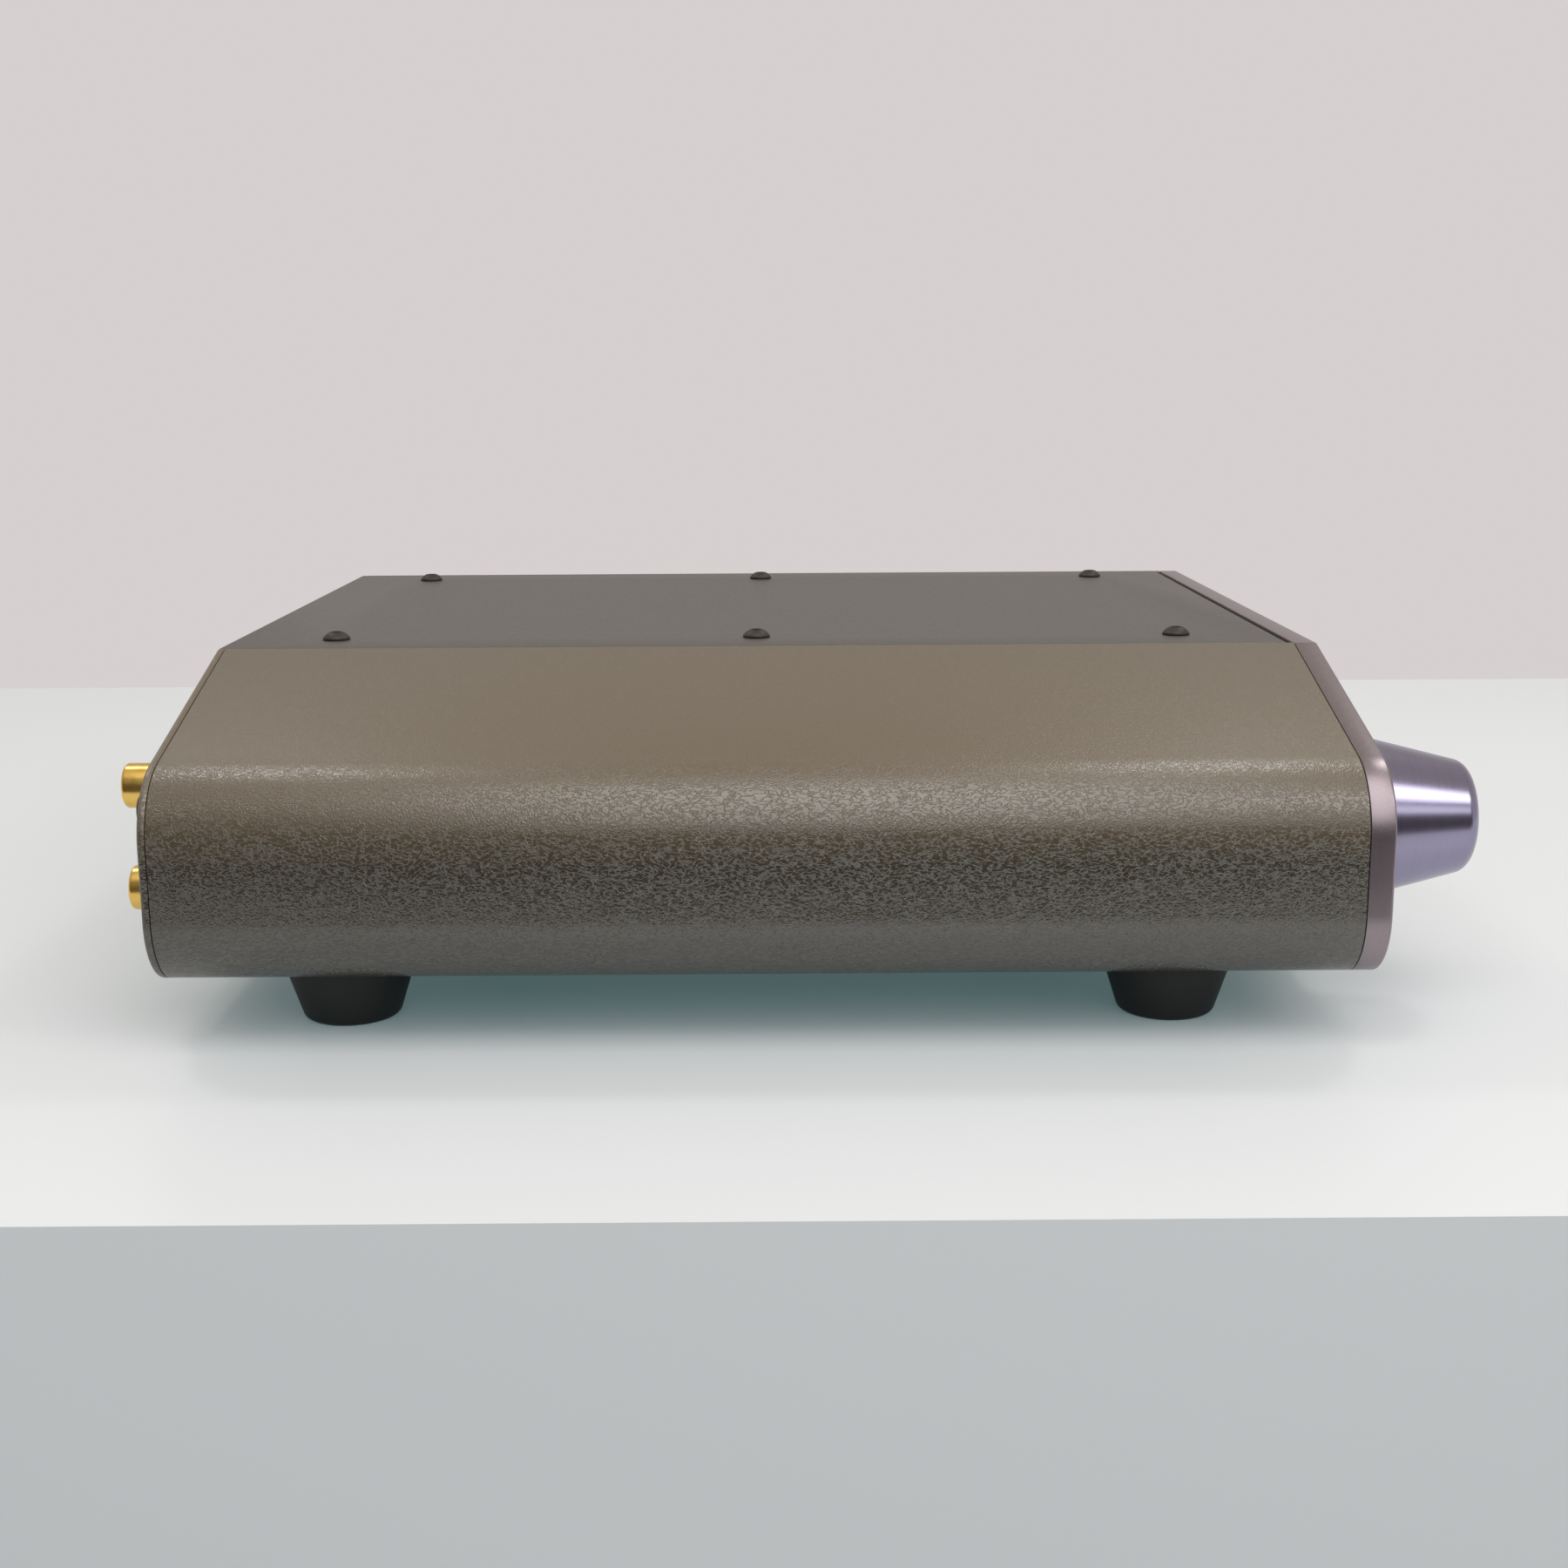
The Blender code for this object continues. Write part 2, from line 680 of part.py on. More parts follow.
def foot_places():
    x = BODY_WIDTH / 2 - FOOT_SIDE_INSET
    front = FRONT_FACE_Y + FOOT_FRONT_INSET
    rear = REAR_FACE_Y - FOOT_REAR_INSET
    return {
        "front_left": (-x, front),
        "front_right": (x, front),
        "rear_left": (-x, rear),
        "rear_right": (x, rear),
    }


def board_box():
    """The left, right, front and rear edges of the main board."""
    left = BOARD_SIDE_MARGIN - BODY_WIDTH / 2
    return left, BOARD_RIGHT_X, PANEL_BACK_Y + BOARD_FRONT_GAP, REAR_INNER_Y - BOARD_REAR_GAP


def post_places():
    left, right, front, rear = board_box()
    columns = (left + POST_SIDE_INSET, right - POST_SIDE_INSET)
    rows = (front + POST_END_INSET, rear - POST_END_INSET)
    return [(x, y) for y in rows for x in columns]


def jack_pocket_radius():
    return JACK_RADIUS + HOLE_CLEARANCE


def low_jack_height():
    """The axis of a phono socket whose housing stands on the main board."""
    return BOARD_TOP_Z + SEAM + JACK_HOUSING_WALL + jack_pocket_radius()


def high_jack_height():
    """The axis of the upper line-out socket, under the shoulder."""
    half = jack_pocket_radius() + JACK_HOUSING_WALL
    return CASE_Z + ceiling_height(abs(LINE_OUT_X) + half) - LINE_OUT_HEADROOM - half


# The case


def make_wrap():
    """The bent shell of the case, with ledges for the cover and ports for the tie rods."""
    mesh = extruded("chassis_wrap", wrap_outline(), WRAP_LENGTH)
    smooth(mesh)
    turn = Matrix.Rotation(math.pi / 2, 4, "X")
    wrap = place("chassis_wrap", mesh, wrinkle_coat(), (0, CASE_MIDDLE_Y, CASE_Z), turn)
    port_front = WRAP_FRONT_Y + PORT_END_INSET
    port_rear = WRAP_REAR_Y - PORT_END_INSET
    join_rods(wrap, [((x, port_front, z), (x, port_rear, z), PORT_RADIUS) for x, z in port_centres()])
    rod_hole = SCREW_RADIUS + HOLE_CLEARANCE
    foot_hole = FOOT_SCREW_RADIUS + HOLE_CLEARANCE
    bolt_hole = BOLT_RADIUS + HOLE_CLEARANCE
    past = WRAP_WALL
    holes = [((x, FRONT_FACE_Y, z), (x, REAR_FACE_Y, z), rod_hole) for x, z in port_centres()]
    for x, y in foot_places().values():
        holes.append(((x, y, CASE_Z - past), (x, y, FLOOR_Z + past), foot_hole))
    holes.append(
        (
            (TRANSFORMER_X, CASE_MIDDLE_Y, CASE_Z - past),
            (TRANSFORMER_X, CASE_MIDDLE_Y, FLOOR_Z + past),
            bolt_hole,
        )
    )
    for x, y in cover_screw_places():
        ledge = CASE_Z + LEDGE_BOTTOM
        holes.append(((x, y, ledge - past), (x, y, ledge + WRAP_WALL + past), rod_hole))
    drill(wrap, holes)


def make_cover():
    half = TOP_WIDTH / 2 - RIM_LAND - SEAM
    top = CASE_Z + BODY_HEIGHT
    low = (-half, PANEL_BACK_Y + COVER_FRONT_GAP, top - COVER_THICKNESS)
    cover = block("top_cover", low, (half, REAR_FACE_Y, top), cover_paint())
    radius = SCREW_RADIUS + HOLE_CLEARANCE
    past = COVER_THICKNESS
    places = cover_screw_places()
    drill(cover, [((x, y, top - 2 * past), (x, y, top + past), radius) for x, y in places])
    mesh = button_screw_mesh("cover screw", BUTTON_HEAD_HEIGHT, COVER_SCREW_LENGTH)
    for number, (x, y) in enumerate(places, 1):
        place(f"cover_screw_{number}", mesh, black_steel(), (x, y, top + SEAM))


def make_front_panel():
    mesh = extruded("front_panel", panel_outline(BODY_HEIGHT, FRONT_PANEL_CORNER), FRONT_PANEL_THICKNESS)
    chamfer_rim(mesh, FRONT_PANEL_THICKNESS / 2, FRONT_PANEL_CHAMFER)
    smooth(mesh)
    turn = Matrix.Rotation(math.pi / 2, 4, "X")
    middle_y = (FRONT_FACE_Y + PANEL_BACK_Y) / 2
    panel = place("front_panel", mesh, plum_anodising(), (0, middle_y, CASE_Z), turn)
    z = control_height()
    before = FRONT_FACE_Y - FRONT_PANEL_THICKNESS
    behind = PANEL_BACK_Y + FRONT_PANEL_THICKNESS
    through = [
        (KNOB_X, BUSH_RADIUS + HOLE_CLEARANCE),
        (HEADPHONE_X, HEADPHONE_BUSH_RADIUS + HOLE_CLEARANCE),
        (BUTTON_X, BUTTON_RADIUS + SLEEVE_CLEARANCE),
    ]
    drill(panel, [((x, before, z), (x, behind, z), radius) for x, radius in through], ROUND_SIDES)
    lamp_hole = LAMP_RADIUS + HOLE_CLEARANCE
    holes = [((x, before, z), (x, behind, z), lamp_hole) for x in lamp_places()]
    blind = PANEL_BACK_Y - ROD_ENTRY
    for x, rod_z in port_centres():
        holes.append(((x, blind, rod_z), (x, behind, rod_z), SCREW_RADIUS + HOLE_CLEARANCE))
    drill(panel, holes)


def make_rear_panel():
    """The coated rear plate: the outline of the case with a notch that the cover reaches over."""
    mesh = extruded("rear_panel", panel_outline(BODY_HEIGHT, REAR_PANEL_CORNER), REAR_PANEL_THICKNESS)
    chamfer_rim(mesh, -REAR_PANEL_THICKNESS / 2, REAR_PANEL_CHAMFER)
    smooth(mesh)
    turn = Matrix.Rotation(math.pi / 2, 4, "X")
    middle_y = (REAR_INNER_Y + REAR_FACE_Y) / 2
    panel = place("rear_panel", mesh, wrinkle_coat(), (0, middle_y, CASE_Z), turn)
    before = REAR_INNER_Y - REAR_PANEL_THICKNESS
    behind = REAR_FACE_Y + REAR_PANEL_THICKNESS
    rod_hole = SCREW_RADIUS + HOLE_CLEARANCE
    drill(panel, [((x, before, z), (x, behind, z), rod_hole) for x, z in port_centres()])
    jack_hole = jack_pocket_radius()
    jacks = jack_places().values()
    drill(panel, [((x, before, z), (x, behind, z), jack_hole) for x, z in jacks], ROUND_SIDES)
    gap = HOLE_CLEARANCE
    cutouts = [
        (USB_X, usb_height(), USB_WIDTH, USB_HEIGHT),
        (INLET_X, MAINS_Z, INLET_WIDTH, INLET_HEIGHT),
        (SWITCH_X, MAINS_Z, ROCKER_FRAME_WIDTH, ROCKER_FRAME_HEIGHT),
    ]
    rebate = TOP_WIDTH / 2 - RIM_LAND
    top = CASE_Z + BODY_HEIGHT
    pockets = [((-rebate, before, CASE_Z + LEDGE_TOP), (rebate, behind, top + COVER_THICKNESS))]
    for x, z, width, height in cutouts:
        low = (x - width / 2 - gap, before, z - height / 2 - gap)
        pockets.append((low, (x + width / 2 + gap, behind, z + height / 2 + gap)))
    mill(panel, pockets)


def make_tie_rods():
    """Long screws from the rear panel through the ports of the wrap into the front panel."""
    seat = REAR_FACE_Y + SEAM
    length = seat - (PANEL_BACK_Y - ROD_ENTRY) - SEAM
    mesh = button_screw_mesh("tie rod", ROD_HEAD_HEIGHT, length)
    for number, (x, z) in enumerate(port_centres(), 1):
        place(f"tie_rod_{number}", mesh, black_steel(), (x, seat, z), facing(REAR))


def foot_mesh():
    """A tapered foot with a rounded lower edge and a recess for its screw."""
    slope = math.atan((FOOT_TOP_RADIUS - FOOT_BOTTOM_RADIUS) / FOOT_HEIGHT)
    edge = FOOT_EDGE_RADIUS
    edge_x = FOOT_BOTTOM_RADIUS + edge * math.tan(slope) - edge / math.cos(slope)
    hole = FOOT_SCREW_RADIUS + HOLE_CLEARANCE
    profile = [(FOOT_TOP_RADIUS, FOOT_HEIGHT)]
    profile += arc((edge_x, edge), edge, -slope, -math.pi / 2, 4)
    profile += [
        (FOOT_RECESS_RADIUS, 0),
        (FOOT_RECESS_RADIUS, FOOT_RECESS_DEPTH),
        (hole, FOOT_RECESS_DEPTH),
        (hole, FOOT_HEIGHT),
    ]
    return turned_mesh("foot", profile, ROUND_SIDES, ring=True)


def foot_screw_mesh():
    """A pan-head screw that points up, with its seat at Z = 0."""
    seat_to_tip = FOOT_HEIGHT - FOOT_RECESS_DEPTH + 2 * SEAM + WRAP_WALL + FOOT_SCREW_TAIL
    profile = [(0, seat_to_tip), (FOOT_SCREW_RADIUS, seat_to_tip), (FOOT_SCREW_RADIUS, 0)]
    low = dome(FOOT_SCREW_HEAD_RADIUS, -FOOT_SCREW_HEAD_RIM, -FOOT_SCREW_HEAD_HEIGHT, 2)
    profile += [(FOOT_SCREW_HEAD_RADIUS, 0)] + low[::-1]
    return turned_mesh("foot screw", profile, SMALL_SIDES)


def make_feet():
    foot = foot_mesh()
    screw = foot_screw_mesh()
    for name, (x, y) in foot_places().items():
        place(f"foot_{name}", foot, rubber(), (x, y, 0))
        place(f"foot_screw_{name}", screw, zinc_steel(), (x, y, FOOT_RECESS_DEPTH - SEAM))


# Volume control


def knob_mesh():
    """The tapered knob about local Z, its back at Z = 0 and its face at the top."""
    slope = math.atan((KNOB_BASE_RADIUS - KNOB_FRONT_RADIUS) / KNOB_LENGTH)
    edge = KNOB_EDGE_RADIUS
    edge_z = KNOB_LENGTH - edge
    edge_x = KNOB_BASE_RADIUS - edge_z * math.tan(slope) - edge / math.cos(slope)
    chamfer = KNOB_BACK_CHAMFER
    profile = [(0, KNOB_LENGTH)]
    profile += arc((edge_x, edge_z), edge, math.pi / 2, slope, 5)
    profile += [
        (KNOB_BASE_RADIUS - chamfer * math.tan(slope), chamfer),
        (KNOB_BASE_RADIUS - chamfer, 0),
        (KNOB_RECESS_RADIUS, 0),
        (KNOB_RECESS_RADIUS, KNOB_RECESS_DEPTH),
        (0, KNOB_RECESS_DEPTH),
    ]
    return turned_mesh("volume_knob", profile, FINE_SIDES)


def make_volume_control():
    """The potentiometer with its nut, and the shaft, knob and grub screw that turn in it."""
    z = control_height()
    knob_back = FRONT_FACE_Y - KNOB_GAP
    axis = bpy.data.objects.new("volume_axis", None)
    parts.objects.link(axis)
    axis.location = (KNOB_X, knob_back, z)

    pot_front = PANEL_BACK_Y + SEAM
    half = POT_WIDTH / 2
    pot = block(
        "volume_pot",
        (KNOB_X - half, pot_front, z - half),
        (KNOB_X + half, pot_front + POT_DEPTH, z + half),
        black_plastic(),
    )
    bush_end = FRONT_FACE_Y - BUSH_PROUD
    bush_root = pot_front + SHAFT_RADIUS
    join_rods(pot, [((KNOB_X, bush_end, z), (KNOB_X, bush_root, z), BUSH_RADIUS)], ROUND_SIDES)
    bore_end = pot_front + SHAFT_IN_POT
    shaft_bore = SHAFT_RADIUS + SLEEVE_CLEARANCE
    drill(pot, [((KNOB_X, bush_end - SEAM, z), (KNOB_X, bore_end, z), shaft_bore)], ROUND_SIDES)

    nut_y = FRONT_FACE_Y - SEAM - POT_NUT_THICKNESS / 2
    nut_turn = Matrix.Rotation(math.pi / 2, 4, "X")
    nut_mesh = extruded("pot_nut", regular_outline(HEX_SIDES, POT_NUT_WIDTH), POT_NUT_THICKNESS)
    nut = place("pot_nut", nut_mesh, zinc_steel(), (KNOB_X, nut_y, z), nut_turn)
    nut_hole = BUSH_RADIUS + HOLE_CLEARANCE
    reach = POT_NUT_THICKNESS
    drill(nut, [((KNOB_X, nut_y - reach, z), (KNOB_X, nut_y + reach, z), nut_hole)], ROUND_SIDES)

    shaft_front = knob_back - KNOB_RECESS_DEPTH - SHAFT_IN_KNOB
    shaft_length = bore_end - SEAM - shaft_front
    shaft_profile = [(0, 0), (SHAFT_RADIUS, 0), (SHAFT_RADIUS, -shaft_length), (0, -shaft_length)]
    shaft = place(
        "volume_shaft",
        turned_mesh("volume_shaft", shaft_profile, ROUND_SIDES),
        zinc_steel(),
        (KNOB_X, shaft_front, z),
        facing(FRONT),
    )
    flat_end = knob_back - KNOB_RECESS_DEPTH
    flat_low = (KNOB_X + SHAFT_FLAT, shaft_front - SEAM, z - 2 * SHAFT_RADIUS)
    mill(shaft, [(flat_low, (KNOB_X + 2 * SHAFT_RADIUS, flat_end, z + 2 * SHAFT_RADIUS))])

    knob = place("volume_knob", knob_mesh(), violet_anodising(), (KNOB_X, knob_back, z), facing(FRONT))
    shape = bmesh.new()
    add_rod(shape, (KNOB_X, shaft_front - SEAM, z), (KNOB_X, knob_back, z), shaft_bore, ROUND_SIDES)
    knob_bore = helper("volume_knob bore", shape)
    keep_low = (KNOB_X + SHAFT_FLAT + SLEEVE_CLEARANCE, shaft_front - 2 * SEAM, z - 2 * shaft_bore)
    mill(knob_bore, [(keep_low, (KNOB_X + 2 * shaft_bore, knob_back + SEAM, z + 2 * shaft_bore))])
    combine(knob, knob_bore, "DIFFERENCE")
    grub_y = flat_end - SHAFT_IN_KNOB / 2
    grub_hole = GRUB_RADIUS + SLEEVE_CLEARANCE
    mark_z = z + KNOB_MARK_OFFSET
    knob_face = knob_back - KNOB_LENGTH
    mark_floor = knob_face + KNOB_MARK_DEPTH
    drill(
        knob,
        [
            ((KNOB_X, grub_y, z), (KNOB_X + KNOB_BASE_RADIUS, grub_y, z), grub_hole),
            ((KNOB_X, knob_face - SEAM, mark_z), (KNOB_X, mark_floor, mark_z), KNOB_MARK_RADIUS),
        ],
    )
    grub_profile = [(0, GRUB_LENGTH), (GRUB_RADIUS, GRUB_LENGTH), (GRUB_RADIUS, 0), (0, 0)]
    grub_mesh = turned_mesh(
        "knob_grub_screw", grub_profile, SMALL_SIDES, socket=(GRUB_KEY, GRUB_LENGTH, GRUB_SOCKET_DEPTH)
    )
    grub_x = KNOB_X + SHAFT_FLAT + SLEEVE_CLEARANCE
    grub = place("knob_grub_screw", grub_mesh, black_steel(), (grub_x, grub_y, z), facing(RIGHT))
    for piece in (shaft, knob, grub):
        piece.parent = axis
        piece.matrix_parent_inverse = Matrix.Translation(-axis.location)


# Other controls of the front panel


def make_headphone_socket():
    z = control_height()
    x = HEADPHONE_X
    back = PANEL_BACK_Y + SEAM
    half = HEADPHONE_BODY_WIDTH / 2
    body = block(
        "headphone_jack",
        (x - half, back, z - half),
        (x + half, back + HEADPHONE_BODY_DEPTH, z + half),
        black_plastic(),
    )
    mouth = FRONT_FACE_Y - HEADPHONE_BUSH_PROUD
    sunk = HEADPHONE_BORE_RADIUS
    join_rods(body, [((x, mouth, z), (x, back + sunk, z), HEADPHONE_BUSH_RADIUS)], ROUND_SIDES)
    bore_end = mouth + HEADPHONE_BORE_DEPTH
    drill(body, [((x, mouth - sunk, z), (x, bore_end, z), HEADPHONE_BORE_RADIUS)], ROUND_SIDES)
    hole = HEADPHONE_BUSH_RADIUS + HOLE_CLEARANCE
    chamfer = RING_NUT_CHAMFER
    profile = [
        (RING_NUT_RADIUS - chamfer, RING_NUT_THICKNESS),
        (RING_NUT_RADIUS, RING_NUT_THICKNESS - chamfer),
        (RING_NUT_RADIUS, 0),
        (hole, 0),
        (hole, RING_NUT_THICKNESS),
    ]
    mesh = turned_mesh("headphone_ring_nut", profile, ROUND_SIDES, ring=True)
    place("headphone_ring_nut", mesh, plum_anodising(), (x, FRONT_FACE_Y - SEAM, z), facing(FRONT))


def lamp_places():
    return [LAMP_FIRST_X + LAMP_PITCH * i for i in range(LAMP_COUNT)]


def make_front_board():
    """The small upright board, its connector, the lamps, the switch and the button."""
    z = control_height()
    board_y = PANEL_BACK_Y + FRONT_BOARD_DISTANCE
    left = LAMP_FIRST_X - FRONT_BOARD_MARGIN
    right = BUTTON_X + FRONT_BOARD_MARGIN
    foot = BOARD_TOP_Z + SEAM
    slot_floor = foot + CONNECTOR_FLOOR
    block(
        "front_board",
        (left, board_y, slot_floor + SEAM),
        (right, board_y + BOARD_THICKNESS, z + FRONT_BOARD_MARGIN),
        board_lacquer(),
    )
    reach = SEAM + CONNECTOR_WALL
    connector = block(
        "edge_connector",
        (left - reach, board_y - reach, foot),
        (right + reach, board_y + BOARD_THICKNESS + reach, foot + CONNECTOR_HEIGHT),
        black_plastic(),
    )
    slot_low = (left - SEAM, board_y - SEAM, slot_floor)
    slot_high = (right + SEAM, board_y + BOARD_THICKNESS + SEAM, foot + 2 * CONNECTOR_HEIGHT)
    mill(connector, [(slot_low, slot_high)])

    lamp_length = FRONT_BOARD_DISTANCE - SEAM + FRONT_PANEL_THICKNESS + LAMP_PROUD
    profile = [(0, lamp_length)]
    profile += arc((0, lamp_length - LAMP_RADIUS), LAMP_RADIUS, math.pi / 2, 0, 3)[1:]
    profile += [
        (LAMP_RADIUS, LAMP_FLANGE_THICKNESS),
        (LAMP_FLANGE_RADIUS, LAMP_FLANGE_THICKNESS),
        (LAMP_FLANGE_RADIUS, 0),
        (0, 0),
    ]
    lamp = turned_mesh("lamp", profile, SMALL_SIDES)
    for number, x in enumerate(lamp_places(), 1):
        place(f"lamp_{number}", lamp, lamp_plastic(), (x, board_y - SEAM, z), facing(FRONT))

    half = SWITCH_WIDTH / 2
    switch_front = board_y - SEAM - SWITCH_DEPTH
    switch = block(
        "input_switch",
        (BUTTON_X - half, switch_front, z - half),
        (BUTTON_X + half, board_y - SEAM, z + half),
        black_plastic(),
    )
    stem_floor = switch_front + BUTTON_STEM_ENTRY + BUTTON_TRAVEL + SEAM
    stem_hole = BUTTON_STEM_RADIUS + SLEEVE_CLEARANCE
    drill(switch, [((BUTTON_X, switch_front - SEAM, z), (BUTTON_X, stem_floor, z), stem_hole)])

    cap_length = BUTTON_PROUD + FRONT_PANEL_THICKNESS + SEAM
    flange_end = cap_length + BUTTON_FLANGE_THICKNESS
    tip = switch_front + BUTTON_STEM_ENTRY - (FRONT_FACE_Y - BUTTON_PROUD)
    edge = BUTTON_EDGE
    profile = [(0, 0)]
    profile += arc((BUTTON_RADIUS - edge, -edge), edge, math.pi / 2, 0, 2)
    profile += [
        (BUTTON_RADIUS, -cap_length),
        (BUTTON_FLANGE_RADIUS, -cap_length),
        (BUTTON_FLANGE_RADIUS, -flange_end),
        (BUTTON_STEM_RADIUS, -flange_end),
        (BUTTON_STEM_RADIUS, -tip),
        (0, -tip),
    ]
    mesh = turned_mesh("input_button", profile, ROUND_SIDES)
    button_face = (BUTTON_X, FRONT_FACE_Y - BUTTON_PROUD, z)
    place("input_button", mesh, violet_anodising(), button_face, facing(FRONT))


# Boards and supply


def make_main_board():
    left, right, front, rear = board_box()
    board = block("main_board", (left, front, BOARD_Z), (right, rear, BOARD_TOP_Z), board_lacquer())
    past = BOARD_THICKNESS
    hole = POST_NECK_RADIUS + SLEEVE_CLEARANCE
    drill(board, [((x, y, BOARD_Z - past), (x, y, BOARD_TOP_Z + past), hole) for x, y in post_places()])
    seat = POST_HEIGHT
    neck_top = seat + SEAM + BOARD_THICKNESS + SEAM
    head_tip = neck_top + POST_HEAD_HEIGHT
    profile = [
        (0, head_tip),
        (POST_NECK_RADIUS, head_tip),
        (POST_HEAD_RADIUS, neck_top),
        (POST_NECK_RADIUS, neck_top),
        (POST_NECK_RADIUS, seat),
        (POST_RADIUS, seat),
        (POST_RADIUS, 0),
        (0, 0),
    ]
    mesh = turned_mesh("board post", profile, SMALL_SIDES)
    for number, (x, y) in enumerate(post_places(), 1):
        place(f"board_post_{number}", mesh, pale_plastic(), (x, y, FLOOR_Z + SEAM))


def make_board_parts():
    """The screening can and the reservoir capacitors on the main board."""
    seat = BOARD_TOP_Z + SEAM
    can_low = (CAN_X - CAN_WIDTH / 2, CASE_MIDDLE_Y - CAN_LENGTH / 2, seat)
    can_high = (CAN_X + CAN_WIDTH / 2, CASE_MIDDLE_Y + CAN_LENGTH / 2, seat + CAN_HEIGHT)
    block("screening_can", can_low, can_high, tinned_sheet())
    radius = CAPACITOR_RADIUS
    edge = CAPACITOR_EDGE
    profile = [(0, CAPACITOR_HEIGHT)]
    profile += arc((radius - edge, CAPACITOR_HEIGHT - edge), edge, math.pi / 2, 0, 2)
    profile += [(radius, 0), (0, 0)]
    mesh = turned_mesh("reservoir capacitor", profile, ROUND_SIDES)
    for number, side in enumerate((-1, 1), 1):
        y = CASE_MIDDLE_Y + side * CAPACITOR_PITCH / 2
        place(f"reservoir_capacitor_{number}", mesh, sleeve_film(), (CAPACITOR_X, y, seat))


def make_transformer():
    """A ring-core transformer on the floor, with the dished clamp and bolt that hold it."""
    foot = FLOOR_Z + SEAM
    outer = TRANSFORMER_RADIUS
    bore = TRANSFORMER_BORE_RADIUS
    high = TRANSFORMER_HEIGHT
    edge = TRANSFORMER_ROUND
    profile = arc((bore + edge, high - edge), edge, math.pi, math.pi / 2, 3)
    profile += arc((outer - edge, high - edge), edge, math.pi / 2, 0, 3)
    profile += arc((outer - edge, edge), edge, 0, -math.pi / 2, 3)
    profile += arc((bore + edge, edge), edge, -math.pi / 2, -math.pi, 3)
    mesh = turned_mesh("transformer", profile, ROUND_SIDES, ring=True)
    place("transformer", mesh, winding_tape(), (TRANSFORMER_X, CASE_MIDDLE_Y, foot))
    under = high + SEAM
    hub = under + CLAMP_THICKNESS
    tail = SEAM - foot + CASE_Z
    profile = [
        (0, hub + BOLT_HEAD_HEIGHT),
        (BOLT_HEAD_RADIUS, hub + BOLT_HEAD_HEIGHT),
        (BOLT_HEAD_RADIUS, hub),
        (bore, hub),
        (CLAMP_RADIUS, hub + CLAMP_DISH),
        (CLAMP_RADIUS, under + CLAMP_DISH),
        (bore + edge, under),
        (BOLT_RADIUS, under),
        (BOLT_RADIUS, tail),
        (0, tail),
    ]
    clamp = turned_mesh("transformer_clamp", profile, SMALL_SIDES)
    place("transformer_clamp", clamp, zinc_steel(), (TRANSFORMER_X, CASE_MIDDLE_Y, foot))


# Sockets of the rear panel


def jack_places():
    return {
        "line_out_upper": (LINE_OUT_X, high_jack_height()),
        "line_out_lower": (LINE_OUT_X, low_jack_height()),
        "coax_in": (COAX_X, low_jack_height()),
    }


def make_phono_sockets():
    """Gold shells with insulating cores, in the housings that carry them behind the panel."""
    housing_rear = REAR_INNER_Y - SEAM
    half = jack_pocket_radius() + JACK_HOUSING_WALL
    pocket_front = housing_rear - JACK_POCKET_DEPTH
    tail = pocket_front + SEAM - REAR_FACE_Y
    inner = JACK_RADIUS - JACK_WALL
    lip = JACK_LIP_RADIUS
    shell_profile = [(inner, JACK_REACH)]
    shell_profile += arc((JACK_RADIUS - lip, JACK_REACH - lip), lip, math.pi / 2, 0, 3)
    shell_profile += [(JACK_RADIUS, tail), (inner, tail)]
    shell = turned_mesh("phono shell", shell_profile, ROUND_SIDES, ring=True)
    face = JACK_REACH - JACK_CORE_RECESS
    core_radius = inner - SLEEVE_CLEARANCE
    core_profile = [
        (JACK_BORE_RADIUS, face),
        (core_radius, face),
        (core_radius, tail),
        (0, tail),
        (0, face - JACK_BORE_DEPTH),
        (JACK_BORE_RADIUS, face - JACK_BORE_DEPTH),
    ]
    core = turned_mesh("phono core", core_profile, SMALL_SIDES, ring=True)
    places = jack_places()
    for name, (x, z) in places.items():
        place(f"{name}_shell", shell, gold_plate(), (x, REAR_FACE_Y, z), facing(REAR))
        place(f"{name}_core", core, black_plastic(), (x, REAR_FACE_Y, z), facing(REAR))
    housings = {
        "line_out_housing": (LINE_OUT_X, places["line_out_lower"][1], places["line_out_upper"][1]),
        "coax_in_housing": (COAX_X, places["coax_in"][1], places["coax_in"][1]),
    }
    for name, (x, lowest, highest) in housings.items():
        low = (x - half, housing_rear - JACK_HOUSING_DEPTH, lowest - half)
        housing = block(name, low, (x + half, housing_rear, highest + half), black_plastic())
        heights = sorted({lowest, highest})
        pockets = [((x, pocket_front, z), (x, REAR_FACE_Y, z), jack_pocket_radius()) for z in heights]
        drill(housing, pockets, ROUND_SIDES)


def usb_height():
    return BOARD_TOP_Z + SEAM + USB_HEIGHT / 2


def make_usb_socket():
    z = usb_height()
    mouth = REAR_FACE_Y + USB_PROUD
    shell = block(
        "usb_shell",
        (USB_X - USB_WIDTH / 2, mouth - USB_DEPTH, z - USB_HEIGHT / 2),
        (USB_X + USB_WIDTH / 2, mouth, z + USB_HEIGHT / 2),
        zinc_steel(),
    )
    half_width = USB_MOUTH_WIDTH / 2
    half_height = USB_MOUTH_HEIGHT / 2
    mouth_low = (USB_X - half_width, mouth - USB_MOUTH_DEPTH, z - half_height)
    mill(shell, [(mouth_low, (USB_X + half_width, mouth + USB_PROUD, z + half_height))])
    half_width = USB_TONGUE_WIDTH / 2
    half_height = USB_TONGUE_HEIGHT / 2
    block(
        "usb_tongue",
        (USB_X - half_width, mouth - USB_MOUTH_DEPTH + SEAM, z - half_height),
        (USB_X + half_width, mouth - USB_TONGUE_RECESS, z + half_height),
        black_plastic(),
    )


